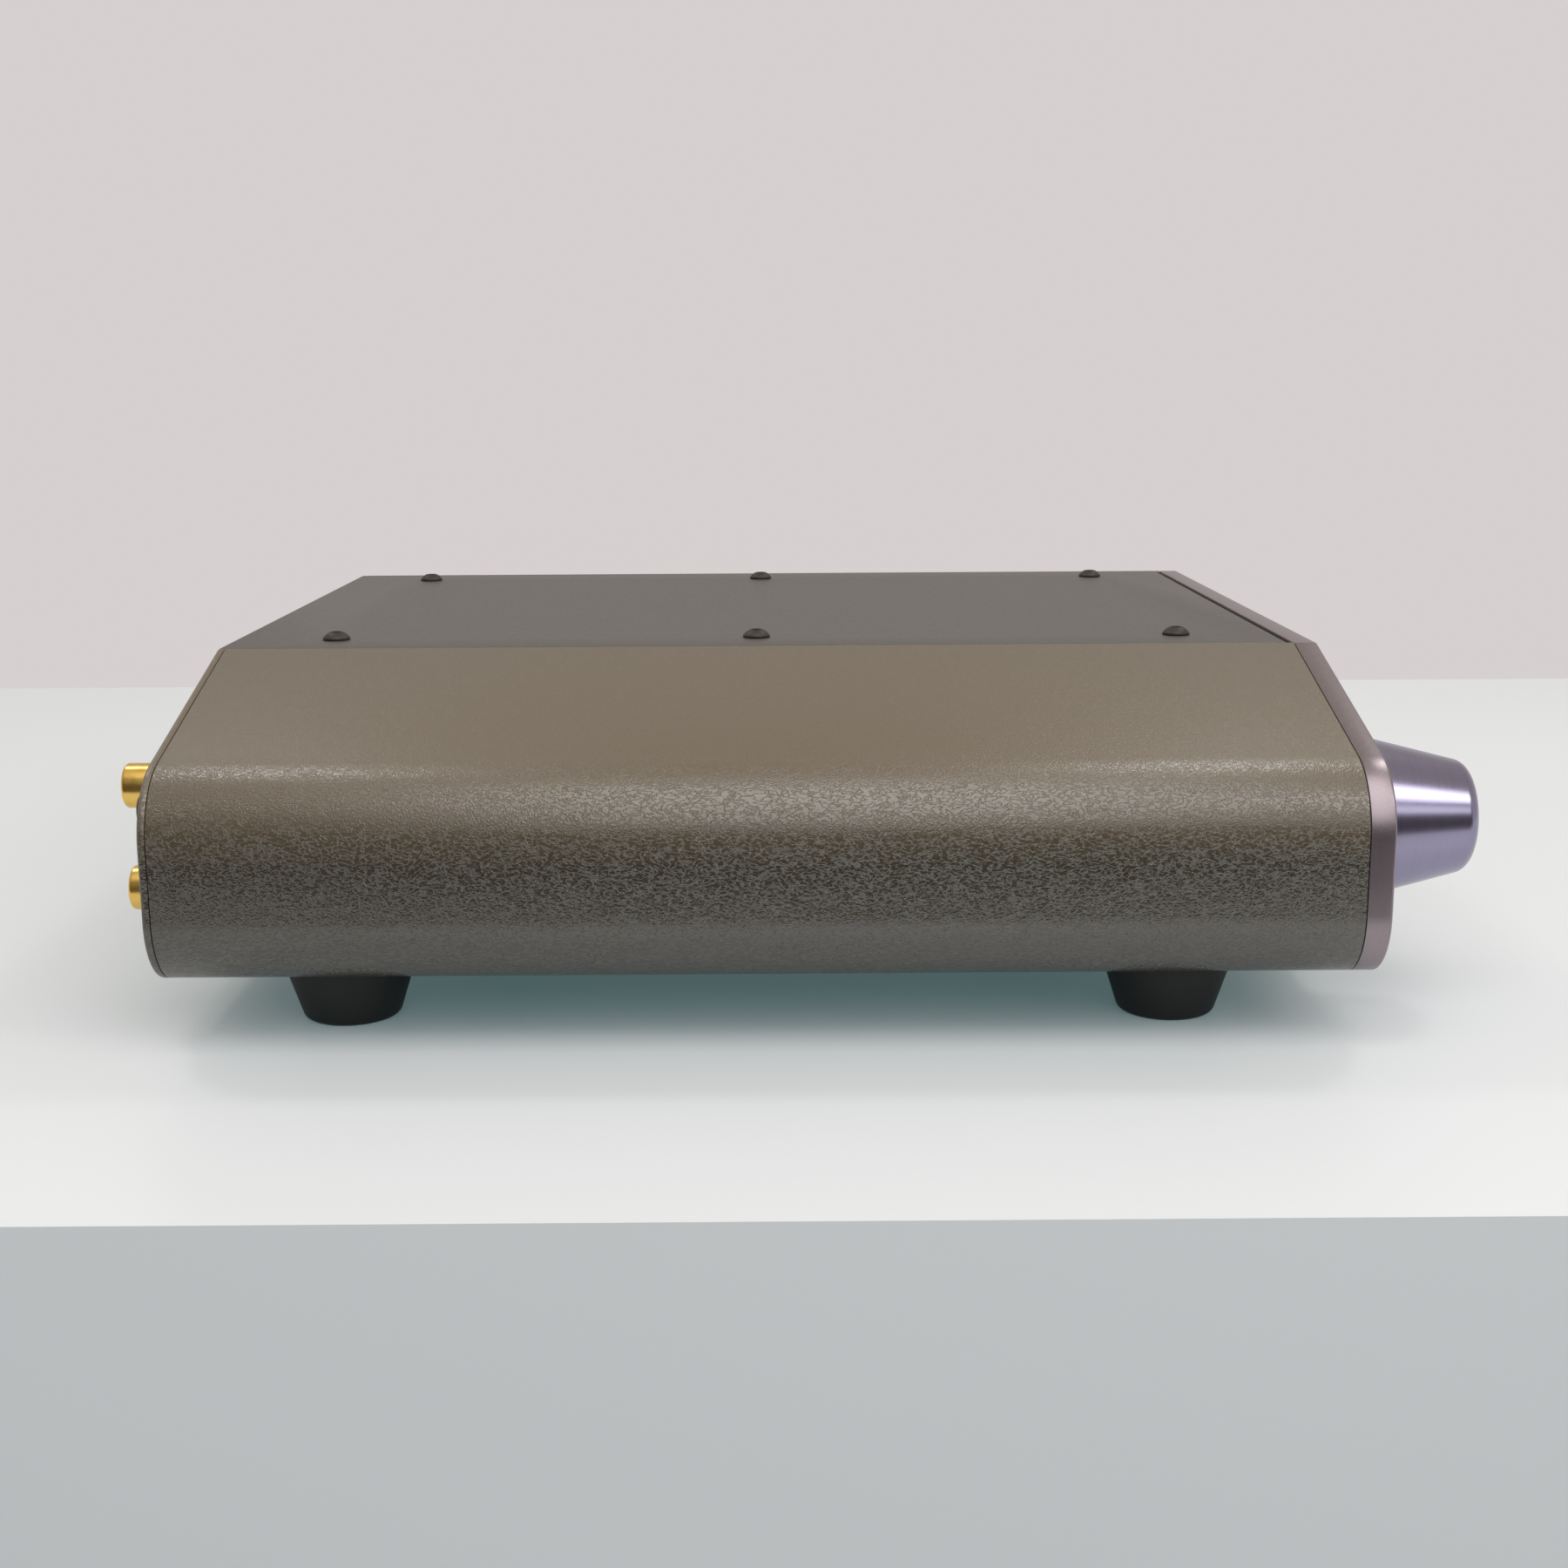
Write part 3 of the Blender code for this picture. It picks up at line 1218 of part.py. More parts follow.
def make_mains_inlet():
    """A flanged inlet with a slant-cornered mouth and three blades, whose tails stand out inside."""
    seat = REAR_FACE_Y + SEAM
    face = seat + INLET_FLANGE_THICKNESS
    turn = Matrix.Rotation(math.pi / 2, 4, "X")
    outline = rounded_rectangle(INLET_FLANGE_WIDTH, INLET_FLANGE_HEIGHT, INLET_CORNER_RADIUS)
    mesh = extruded("mains_inlet", outline, INLET_FLANGE_THICKNESS)
    middle = (INLET_X, (seat + face) / 2, MAINS_Z)
    inlet = place("mains_inlet", mesh, black_plastic(), middle, turn)
    back = seat - INLET_DEPTH
    low = (INLET_X - INLET_WIDTH / 2, back, MAINS_Z - INLET_HEIGHT / 2)
    overlap = INLET_FLANGE_THICKNESS / 2
    join_boxes(inlet, [(low, (INLET_X + INLET_WIDTH / 2, seat + overlap, MAINS_Z + INLET_HEIGHT / 2))])

    x = INLET_MOUTH_WIDTH / 2
    z = INLET_MOUTH_HEIGHT / 2
    cut = INLET_MOUTH_CUT
    mouth_outline = [(x, -z), (x, z - cut), (x - cut, z), (cut - x, z), (-x, z - cut), (-x, -z)]
    past = INLET_FLANGE_THICKNESS
    mouth_floor = face - INLET_MOUTH_DEPTH
    mouth_mesh = extruded("mains_inlet mouth", mouth_outline, INLET_MOUTH_DEPTH + past)
    mouth = bpy.data.objects.new("mains_inlet mouth", mouth_mesh)
    cutters.objects.link(mouth)
    mouth.hide_render = True
    mouth.display_type = "WIRE"
    mouth.matrix_world = Matrix.Translation((INLET_X, (mouth_floor + face + past) / 2, MAINS_Z)) @ turn
    combine(inlet, mouth, "DIFFERENCE")

    row = BLADE_ROW_OFFSET / 2
    blades = []
    for blade_x, blade_z in ((-BLADE_SPACING / 2, -row), (0, row), (BLADE_SPACING / 2, -row)):
        middle_x = INLET_X + blade_x
        middle_z = MAINS_Z + blade_z
        low = (middle_x - BLADE_THICKNESS / 2, back - BLADE_TAIL, middle_z - BLADE_HEIGHT / 2)
        high = (middle_x + BLADE_THICKNESS / 2, face - BLADE_RECESS, middle_z + BLADE_HEIGHT / 2)
        blades.append((low, high))
    join_boxes(inlet, blades)


def rocker_outline():
    """The rocker in (outward, up) about its pivot: round ends and two faces that meet in a valley."""
    reach = ROCKER_TILT + math.asin(ROCKER_CREST * math.cos(ROCKER_TILT) / ROCKER_RADIUS)
    base = math.asin(ROCKER_BASE / ROCKER_RADIUS)
    upper_end = arc((0, 0), ROCKER_RADIUS, math.pi / 2 - reach, math.pi / 2 + base, 6)
    lower_end = arc((0, 0), ROCKER_RADIUS, -math.pi / 2 - base, reach - math.pi / 2, 6)
    return [(ROCKER_CREST, 0)] + upper_end + lower_end


def make_power_switch():
    """A rocker on two pins in the well of a flanged frame. At rest its lower end is pressed in."""
    seat = REAR_FACE_Y + SEAM
    face = seat + ROCKER_FLANGE_THICKNESS
    half_width = ROCKER_FLANGE_WIDTH / 2
    half_height = ROCKER_FLANGE_HEIGHT / 2
    frame = block(
        "rocker_frame",
        (SWITCH_X - half_width, seat, MAINS_Z - half_height),
        (SWITCH_X + half_width, face, MAINS_Z + half_height),
        black_plastic(),
    )
    half_width = ROCKER_FRAME_WIDTH / 2
    half_height = ROCKER_FRAME_HEIGHT / 2
    back = seat - ROCKER_FRAME_DEPTH
    overlap = ROCKER_FLANGE_THICKNESS / 2
    body_low = (SWITCH_X - half_width, back, MAINS_Z - half_height)
    join_boxes(frame, [(body_low, (SWITCH_X + half_width, seat + overlap, MAINS_Z + half_height))])
    tabs = []
    for side in (-1, 1):
        tab_z = MAINS_Z + side * ROCKER_TAB_SPACING / 2
        tab_low = (
            SWITCH_X - ROCKER_TAB_WIDTH / 2,
            back - ROCKER_TAB_LENGTH,
            tab_z - ROCKER_TAB_THICKNESS / 2,
        )
        tab_high = (SWITCH_X + ROCKER_TAB_WIDTH / 2, back + overlap, tab_z + ROCKER_TAB_THICKNESS / 2)
        tabs.append((tab_low, tab_high))
    join_boxes(frame, tabs)
    well_half = ROCKER_RADIUS + ROCKER_GAP
    well_low = (SWITCH_X - ROCKER_WELL_WIDTH / 2, face - ROCKER_WELL_DEPTH, MAINS_Z - well_half)
    mill(frame, [(well_low, (SWITCH_X + ROCKER_WELL_WIDTH / 2, face + overlap, MAINS_Z + well_half))])
    pivot_y = face - ROCKER_PIVOT_DEPTH
    socket_reach = ROCKER_WELL_WIDTH / 2 + ROCKER_PIN_LENGTH
    pin_left = (SWITCH_X - socket_reach, pivot_y, MAINS_Z)
    pin_right = (SWITCH_X + socket_reach, pivot_y, MAINS_Z)
    drill(frame, [(pin_left, pin_right, ROCKER_PIN_RADIUS + SLEEVE_CLEARANCE)])

    rocker_width = ROCKER_WELL_WIDTH - 2 * ROCKER_GAP
    mesh = extruded("power_rocker", rocker_outline(), rocker_width)
    shape = bmesh.new()
    pin_reach = socket_reach - SLEEVE_CLEARANCE
    add_rod(shape, (-pin_reach, 0, 0), (pin_reach, 0, 0), ROCKER_PIN_RADIUS, SMALL_SIDES)
    pins = helper("power_rocker pins", shape)
    across = Matrix(((0, 0, 1, 0), (1, 0, 0, 0), (0, 1, 0, 0), (0, 0, 0, 1)))
    turn = Matrix.Rotation(-ROCKER_TILT, 4, "X")
    pivot = (SWITCH_X, pivot_y, MAINS_Z)
    rocker = place("power_rocker", mesh, black_plastic(), pivot, turn @ across)
    pins.matrix_world = Matrix.Translation(pivot)
    combine(rocker, pins, "UNION")


def main():
    global parts, cutters
    clear_scene()
    parts = new_collection("desktop_dac")
    cutters = new_collection("cutters")
    make_wrap()
    make_cover()
    make_front_panel()
    make_rear_panel()
    make_tie_rods()
    make_feet()
    make_volume_control()
    make_headphone_socket()
    make_front_board()
    make_main_board()
    make_board_parts()
    make_transformer()
    make_phono_sockets()
    make_usb_socket()
    make_mains_inlet()
    make_power_switch()


main()
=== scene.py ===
# %% [markdown]
# # A desktop DAC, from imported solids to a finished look
#
# A desktop DAC is a small hi-fi box that turns digital music into sound: a metal case with sockets behind and
# a volume knob in front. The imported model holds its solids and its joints. This lesson leaves those solids
# where they are and builds the surfaces that the eye meets: bent sheet, rounded edges, turned metal and coats
# of paint.

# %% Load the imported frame
import json
import math

import bmesh
import bpy
from mathutils import Matrix, Vector


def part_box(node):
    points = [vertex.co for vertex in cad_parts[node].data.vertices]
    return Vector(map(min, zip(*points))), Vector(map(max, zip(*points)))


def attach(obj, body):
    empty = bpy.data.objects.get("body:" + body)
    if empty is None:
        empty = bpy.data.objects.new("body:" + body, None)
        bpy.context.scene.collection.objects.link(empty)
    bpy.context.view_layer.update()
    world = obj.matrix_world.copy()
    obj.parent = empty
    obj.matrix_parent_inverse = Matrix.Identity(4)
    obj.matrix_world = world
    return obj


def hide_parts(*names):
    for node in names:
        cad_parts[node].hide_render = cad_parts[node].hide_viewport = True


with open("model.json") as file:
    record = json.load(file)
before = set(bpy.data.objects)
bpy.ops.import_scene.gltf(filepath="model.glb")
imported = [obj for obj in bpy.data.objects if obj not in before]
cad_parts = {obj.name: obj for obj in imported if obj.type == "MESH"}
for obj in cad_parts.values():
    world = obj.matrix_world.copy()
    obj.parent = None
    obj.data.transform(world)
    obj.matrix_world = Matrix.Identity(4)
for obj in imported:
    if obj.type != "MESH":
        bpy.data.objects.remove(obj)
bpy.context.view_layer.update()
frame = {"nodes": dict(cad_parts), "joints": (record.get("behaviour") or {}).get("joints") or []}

MM = 0.001

# %% [markdown]
# ## The camera
#
# The picture to match was taken from beside the case, a little above it, so the left side fills the frame,
# the front is at the right and the rear at the left. The place, the tilt and the lens below come from fitting
# straight edges of known size. Turning in three steps, about the upright, the level and then the line of
# sight, keeps each angle readable.

# %% Camera
CAMERA_PLACE = Vector((-487.82, 5.37, 123.07)) * MM
CAMERA_HEADING = math.radians(-90.16)
CAMERA_TILT = math.radians(78.391)
CAMERA_ROLL = math.radians(-0.337)
CAMERA_LENS = 46.73  # mm
SENSOR_WIDTH = 36  # mm

camera_data = bpy.data.cameras.new("camera")
camera_data.sensor_width = SENSOR_WIDTH
camera_data.lens = CAMERA_LENS
camera = bpy.data.objects.new("camera", camera_data)
bpy.context.scene.collection.objects.link(camera)
aim = Matrix.Rotation(CAMERA_HEADING, 4, "Z") @ Matrix.Rotation(CAMERA_TILT, 4, "X")
camera.matrix_world = Matrix.Translation(CAMERA_PLACE) @ aim @ Matrix.Rotation(CAMERA_ROLL, 4, "Z")
bpy.context.scene.camera = camera
print("camera at", [round(c, 3) for c in camera.location])

# %% [markdown]
# ## Colours and nodes
#
# Colours are written as the six-digit codes that a colour picker shows, and shaders want linear light, so one
# function converts them. Another adds a node and fills its inputs, and the rest wrap the few nodes that every
# finish is made of, so that a material reads as a short list of what it does.

# %% Colour and node helpers
def srgb(code):
    """Linear RGBA of a six-digit colour code."""
    channels = [int(code[i : i + 2], 16) / 255 for i in (0, 2, 4)]
    linear = [c / 12.92 if c <= 0.04045 else ((c + 0.055) / 1.055) ** 2.4 for c in channels]
    return (*linear, 1)


def node(tree, kind, inputs, **options):
    """Adds a node, sets its options, and fills its inputs with values or links."""
    made = tree.nodes.new(kind)
    for option, choice in options.items():
        setattr(made, option, choice)
    for key, value in inputs.items():
        if isinstance(value, bpy.types.NodeSocket):
            tree.links.new(value, made.inputs[key])
        else:
            made.inputs[key].default_value = value
    return made


def new_finish(name, **values):
    """A material with the given values on its surface shader, and what the next nodes need."""
    material = bpy.data.materials.new(name)
    material.use_nodes = True
    tree = material.node_tree
    surface = tree.nodes["Principled BSDF"]
    for key, value in values.items():
        surface.inputs[key.replace("_", " ")].default_value = value
    place = tree.nodes.new("ShaderNodeTexCoord").outputs["Object"]
    return material, tree, surface, place


def noise(tree, place, size, detail):
    """Noise whose features are about this many millimetres across."""
    inputs = {"Vector": place, "Scale": 1 / (size * MM), "Detail": detail}
    return node(tree, "ShaderNodeTexNoise", inputs).outputs["Fac"]


def reckon(tree, operation, *values):
    return node(tree, "ShaderNodeMath", dict(enumerate(values)), operation=operation).outputs[0]


def remap(tree, value, low, high, start=0.0, end=1.0, **options):
    """Runs from low to high while the value runs from start to end."""
    inputs = {"Value": value, "From Min": start, "From Max": end, "To Min": low, "To Max": high}
    return node(tree, "ShaderNodeMapRange", inputs, **options).outputs[0]


def mix(tree, factor, low, high):
    """Runs from one colour code to another with the factor."""
    inputs = {0: factor, 6: srgb(low), 7: srgb(high)}  # a Mix node's sockets for two colours
    return node(tree, "ShaderNodeMix", inputs, data_type="RGBA").outputs[2]


def wire(tree, surface, colour, rough, height, strength, depth):
    """Gives the surface a colour, a roughness and a relief this many millimetres deep."""
    bump = node(tree, "ShaderNodeBump", {"Height": height, "Strength": strength, "Distance": depth * MM})
    tree.links.new(colour, surface.inputs["Base Color"])
    tree.links.new(rough, surface.inputs["Roughness"])
    tree.links.new(bump.outputs[0], surface.inputs["Normal"])


print("7b6f61 in linear light:", [round(c, 3) for c in srgb("7b6f61")])

# %% [markdown]
# ## Wrinkle powder coat
#
# The wrap and the rear panel wear a baked powder that shrinks as it cures and draws up into flat lumps with
# narrow creases between them. A scanned texture would repeat and need unwrapping. A noise folded at its
# middle value gives wandering crease lines anywhere, and a short ramp beside each line leaves flat lumps with
# sloped walls about 0.1 mm wide. Walls that lean up catch the soft light and draw fine pale squiggles on the
# upright side. The creases run on over the bend and fade out on the shoulder, where only a fine grain is
# left. Bump throws no shadows of its own, so the upright side gets a darker colour than the shoulder, set by
# height: painted shade for the wrinkles' shadows and for the dimmer light on an upright face. The binder is
# glossy, with flakes in it that raise its index: smooth on the side, and duller from the bend upwards, where
# it gives the grey sheen.

# %% Wrinkle powder coat
CREASE_SPAN = 0.68  # mm from one crease to the next, upwards
CREASE_RUN = 0.5  # lengthwise the noise runs at half the pace, so creases are twice as long
CREASE_LEAN = math.radians(14)  # from level
CREASE_DEPTH = 0.07  # mm
WALL_END = 0.055  # distance from the fold, on the noise's own scale, where a wall ends
SIDE_MIDDLE = 31 * MM  # above the table
CREASE_FADE = (17 * MM, 23 * MM)  # from the side's middle, up or down
CREASE_REST = 0.15  # share of the creases that is left beyond
BEND_FADE = (4 * MM, 14 * MM)  # above the side's middle, where side turns into bend
GRAIN_SPAN = 0.36  # mm

coat, tree, surface, place = new_finish("olive wrinkle powder coat", IOR=2.0)
stretch = {"Vector": place, "Rotation": (CREASE_LEAN, 0, 0), "Scale": (1, CREASE_RUN, 1)}
drawn = node(tree, "ShaderNodeMapping", stretch)
wander = noise(tree, drawn.outputs[0], CREASE_SPAN, 3.0)
folded = reckon(tree, "ABSOLUTE", reckon(tree, "SUBTRACT", wander, 0.5))
lumps = remap(tree, folded, 0.0, 1.0, 0.0, WALL_END, interpolation_type="SMOOTHSTEP")
apart = node(tree, "ShaderNodeSeparateXYZ", {0: place})
above = reckon(tree, "SUBTRACT", apart.outputs["Z"], SIDE_MIDDLE)
fade = remap(tree, reckon(tree, "ABSOLUTE", above), 1.0, CREASE_REST, *CREASE_FADE)
grain = noise(tree, place, GRAIN_SPAN, 1.0)
relief = reckon(tree, "ADD", grain, reckon(tree, "MULTIPLY", lumps, fade))
# painted shade: by height the colour runs from dark on the upright side to lighter from the bend up; the same
# ramp also dulls the gloss
bent = remap(tree, above, 0.0, 1.0, *BEND_FADE)
shade = mix(tree, bent, "332d1c", "5f523d")
tint = remap(tree, grain, 0.85, 1.15)
painted_shade_and_grain = node(tree, "ShaderNodeVectorMath", {0: shade, "Scale": tint}, operation="SCALE")
dull = remap(tree, bent, 0.18, 0.31)
wire(tree, surface, painted_shade_and_grain.outputs[0], dull, relief, 1.0, CREASE_DEPTH)
print(coat.name, "with", len(tree.nodes), "nodes")

# %% [markdown]
# ## Satin paint
#
# The cover is sprayed with a smoother, darker paint. A low view shows little more than a faint orange peel
# about a millimetre across and a fine dust of lighter specks, so two quiet noises are enough.

# %% Satin paint
PEEL_SPAN = 0.9  # mm
PEEL_DEPTH = 0.03  # mm
DUST_SPAN = 0.35  # mm

satin, tree, surface, place = new_finish("dark grey satin paint", IOR=1.5)
peel = noise(tree, place, PEEL_SPAN, 2.0)
specks = remap(tree, noise(tree, place, DUST_SPAN, 1.0), 0.0, 1.0, 0.35, 0.75)
shade = mix(tree, specks, "4d4946", "5a5551")
wire(tree, surface, shade, remap(tree, peel, 0.42, 0.54), peel, 0.25, PEEL_DEPTH)
print(satin.name)

# %% [markdown]
# ## Anodised aluminium, brushed and turned
#
# The front panel is brushed from side to side and dyed plum, the knob is turned on a lathe and dyed violet.
# Both are bare metal under a clear dyed oxide, so they are fully metallic, with the dye as the colour.
# Brushing is a noise drawn out along X. Turning marks are rings, so the noise there reads only the distance
# from the axis and the place along it. Real marks are finer than a pixel, so they are drawn about 0.3 mm
# apart to show.

# %% Brushed plum aluminium
MARK_SPAN = 0.3  # mm from one brush or turning mark to the next
BRUSH_RUN = 0.012  # the marks are some eighty times as long as they are wide
BRUSH_DEPTH = 0.02  # mm

plum, tree, surface, place = new_finish("plum anodised brushed aluminium", Metallic=1.0)
drawn = node(tree, "ShaderNodeMapping", {"Vector": place, "Scale": (BRUSH_RUN, 1, 1)})
brushed = noise(tree, drawn.outputs[0], MARK_SPAN, 3.0)
shade = mix(tree, brushed, "8b8085", "9f9498")
wire(tree, surface, shade, remap(tree, brushed, 0.3, 0.42), brushed, 0.12, BRUSH_DEPTH)
print(plum.name)

# %% Turned violet aluminium
TURNING_DEPTH = 0.005  # mm

knob_low, knob_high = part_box("volume_knob")
knob_axis = Vector(((knob_low.x + knob_high.x) / 2, 0, (knob_low.z + knob_high.z) / 2))
violet, tree, surface, place = new_finish("violet anodised turned aluminium", Metallic=1.0)
offset = node(tree, "ShaderNodeVectorMath", {0: place, 1: knob_axis}, operation="SUBTRACT")
apart = node(tree, "ShaderNodeSeparateXYZ", {0: offset.outputs[0]})
across = node(tree, "ShaderNodeCombineXYZ", {"X": apart.outputs["X"], "Y": apart.outputs["Z"]})
radius = node(tree, "ShaderNodeVectorMath", {0: across.outputs[0]}, operation="LENGTH")
rings = node(tree, "ShaderNodeCombineXYZ", {"X": radius.outputs["Value"], "Y": apart.outputs["Y"]})
turned = noise(tree, rings.outputs[0], MARK_SPAN, 3.0)
shade = mix(tree, turned, "8d88a0", "9b96ad")
wire(tree, surface, shade, remap(tree, turned, 0.18, 0.27), turned, 0.1, TURNING_DEPTH)
print(violet.name, "about", [round(c / MM, 1) for c in knob_axis])

# %% [markdown]
# ## Smaller finishes
#
# Gold plate, blackened steel, zinc, rubber and moulded plastics differ mostly in colour, gloss and the size
# of their surface marks. Each is the same recipe: two near colours mixed by a noise of a real size, the same
# noise in the roughness, and a shallow relief. A table keeps them side by side.

# %% Table of smaller finishes
# name: low colour, high colour, metallic, low and high roughness, mark size and depth in mm
SMALL_FINISHES = {
    # Plated metals: bright bands that follow the shape, with fine wiping marks.
    "polished gold plate": ("e3b655", "f3d07a", 1.0, 0.2, 0.3, 1.6, 0.002),
    "zinc plated steel": ("a9abac", "c4c6c7", 1.0, 0.25, 0.4, 0.7, 0.004),
    "nickel plated brass": ("b4b0a6", "cdcac2", 1.0, 0.15, 0.28, 0.8, 0.003),
    "tinned sheet steel": ("b4b6b7", "cfd1d2", 1.0, 0.2, 0.38, 3.0, 0.004),
    # A thin oiled oxide on steel: dark brown-grey with a dull shine.
    "blackened steel": ("38342f", "4a443f", 0.6, 0.42, 0.54, 0.5, 0.006),
    # Moulded pieces: the spark-eroded mould leaves an even, fine grain.
    "moulded black rubber": ("090a09", "131413", 0.0, 0.52, 0.7, 0.6, 0.02),
    "moulded black plastic": ("161617", "1e1e20", 0.0, 0.34, 0.5, 0.4, 0.008),
    "frosted lamp plastic": ("d9ddd2", "eef0ea", 0.0, 0.3, 0.42, 0.5, 0.004),
    "natural nylon": ("dcd8ca", "e8e4d8", 0.0, 0.45, 0.55, 0.6, 0.006),
    # Thin layers: flat ink, clear lacquer, drawn film and wound tape, each a little uneven.
    "white pad print": ("d8d8d4", "e6e6e2", 0.0, 0.5, 0.6, 0.3, 0.002),
    "green board lacquer": ("173d2d", "235741", 0.0, 0.25, 0.4, 2.5, 0.01),
    "dark blue sleeve film": ("182745", "243760", 0.0, 0.25, 0.38, 5.0, 0.01),
    "yellow winding tape": ("b8953d", "d2b45c", 0.0, 0.4, 0.55, 4.0, 0.03),
}

finishes = {}
for name, (low, high, metallic, smooth, rough, size, depth) in SMALL_FINISHES.items():
    finishes[name], tree, surface, place = new_finish(name, Metallic=metallic)
    marks = noise(tree, place, size, 4.0)
    wire(tree, surface, mix(tree, marks, low, high), remap(tree, marks, smooth, rough), marks, 0.5, depth)

gold = finishes["polished gold plate"]
black_steel = finishes["blackened steel"]
zinc = finishes["zinc plated steel"]
plastic = finishes["moulded black plastic"]
print(len(finishes), "smaller finishes")

# %% [markdown]
# ## Drawing with operators
#
# Nearly every piece is a section pushed along a line or turned about an axis, so there are three pens: one
# starts a point, one extrudes it along straight stretches, and one spins it round a centre, which gives a
# true arc where a bevel would only come close. All sections are drawn in the XZ plane, and a last step turns
# the shape to where it belongs.

# %% Pens, pushes and turns
WELD = 0.001 * MM
UP = Vector((0, 0, 1))
FRONT = Vector((0, -1, 0))
REAR = Vector((0, 1, 0))


def verts_in(parts):
    return [part for part in parts if isinstance(part, bmesh.types.BMVert)]


def pen(shape, x, z):
    return shape.verts.new((x, 0, z))


def lines_to(shape, tip, *places):
    """Draws straight stretches through these places, and gives the last point."""
    for x, z in places:
        tip = bmesh.ops.extrude_vert_indiv(shape, verts=[tip])["verts"][0]
        tip.co = (x, 0, z)
    return tip


def arc_to(shape, tip, centre, degrees, steps):
    """Spins the point about a centre in the section, clockwise as seen from the front."""
    made = bmesh.ops.spin(
        shape, geom=[tip], cent=(centre[0], 0, centre[1]), axis=REAR,
        angle=math.radians(degrees), steps=steps,
    )
    return verts_in(made["geom_last"])[0]


def push(shape, start_y, end_y):
    """Fills a drawn outline and pushes it from one place along Y to another."""
    face = bmesh.ops.contextual_create(shape, geom=shape.edges[:])["faces"]
    bmesh.ops.translate(shape, verts=shape.verts, vec=(0, start_y, 0))
    pushed = bmesh.ops.extrude_face_region(shape, geom=face)["geom"]
    bmesh.ops.translate(shape, verts=verts_in(pushed), vec=(0, end_y - start_y, 0))
    bmesh.ops.recalc_face_normals(shape, faces=shape.faces)


def turn(shape, steps=96):
    """Spins a drawn profile once round Z, and closes its seam and its poles."""
    bmesh.ops.spin(
        shape, geom=shape.verts[:] + shape.edges[:], cent=(0, 0, 0), axis=UP,
        angle=2 * math.pi, steps=steps, use_merge=True,
    )
    bmesh.ops.remove_doubles(shape, verts=shape.verts, dist=WELD)
    bmesh.ops.recalc_face_normals(shape, faces=shape.faces)


def face_to(shape, direction, place):
    """Turns a shape that was made about +Z to face this way, and moves it into place."""
    rotation = direction.to_track_quat("Z", "Y").to_matrix().to_4x4()
    bmesh.ops.transform(shape, verts=shape.verts, matrix=Matrix.Translation(place) @ rotation)


def add_box(shape, low, high):
    """Adds a box between two corners, and gives its vertices."""
    size = Vector(high) - Vector(low)
    middle = Matrix.Translation((Vector(low) + Vector(high)) / 2)
    return bmesh.ops.create_cube(shape, size=1, matrix=middle @ Matrix.Diagonal((*size, 1)))["verts"]


def at_y(point, y):
    return Vector((point.x, y, point.z))


def add_bar(shape, centre, start_y, end_y, half):
    """Adds a box along Y that reaches this far to either side of a centre."""
    add_box(shape, at_y(centre, start_y) - half, at_y(centre, end_y) + half)


def add_rod(shape, start, end, radius, sides=48):
    along = Vector(end) - Vector(start)
    middle = Matrix.Translation((Vector(start) + Vector(end)) / 2)
    bmesh.ops.create_cone(
        shape, cap_ends=True, segments=sides, radius1=radius, radius2=radius, depth=along.length,
        matrix=middle @ along.to_track_quat("Z", "Y").to_matrix().to_4x4(),
    )


def round_edges(shape, edges, width, segments=3):
    bmesh.ops.bevel(
        shape, geom=edges, offset=width, segments=segments, profile=0.5,
        affect="EDGES", material=-1, clamp_overlap=True,
    )


def edges_at(shape, y):
    """The edges that lie in the plane at this place along Y."""
    return [edge for edge in shape.edges if all(abs(end.co.y - y) < WELD for end in edge.verts)]


def edges_along_y(shape):
    return [edge for edge in shape.edges if abs(edge.verts[0].co.y - edge.verts[1].co.y) > MM]


print("pens ready")

# %% [markdown]
# ## Cutting and finishing
#
# Holes that run through finished shapes are simplest as a Boolean, done at once. The finishing step makes the
# object, smooths all but its sharp edges, hands it to the body that carries it, and hides the solids that it
# stands for.

# %% Cutting and finishing helpers
SHARP = math.radians(35)  # edges that bend more than this stay sharp


def to_object(name, shape):
    """Makes an object of a shape, which is used up."""
    mesh = bpy.data.meshes.new(name)
    shape.to_mesh(mesh)
    shape.free()
    made = bpy.data.objects.new(name, mesh)
    bpy.context.scene.collection.objects.link(made)
    return made


def carve(shape, tool, operation="DIFFERENCE"):
    """The shape after a Boolean with the tool. Both are used up."""
    stock = to_object("stock", shape)
    cutter = to_object("cutter", tool)
    step = stock.modifiers.new("carve", "BOOLEAN")
    step.object = cutter
    step.operation = operation
    step.solver = "EXACT"
    result = bmesh.new()
    result.from_object(stock, bpy.context.evaluated_depsgraph_get())
    for used in (stock, cutter):
        mesh = used.data
        bpy.data.objects.remove(used)
        bpy.data.meshes.remove(mesh)
    return result


def middle_of(name):
    low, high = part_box(name)
    return (low + high) / 2


def finish(name, shape, material, nodes, body="case"):
    """Makes the piece, rides it on its body and lets it stand for its CAD nodes."""
    piece = to_object(name, shape)
    mesh = piece.data
    mesh.shade_smooth()
    mesh.set_sharp_from_angle(angle=SHARP)
    mesh.materials.append(material)
    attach(piece, body)
    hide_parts(*nodes)
    print(f"{name}: {len(mesh.polygons)} faces on {body}")


# %% [markdown]
# ## The wrap
#
# One sheet makes both shoulders, both sides and the underside. The real one is bent on a brake, one bend
# after the other, and the drawing follows the same order: along the shoulder, round the upper bend, down the
# side, round the lower bend and under to the middle. The same pen draws the inner face one wall thickness
# further in, and a mirror gives the other half. Bevelling a box would be quicker, but bevels of 74 degrees
# aren't quite round, and this broad highlight shows it.

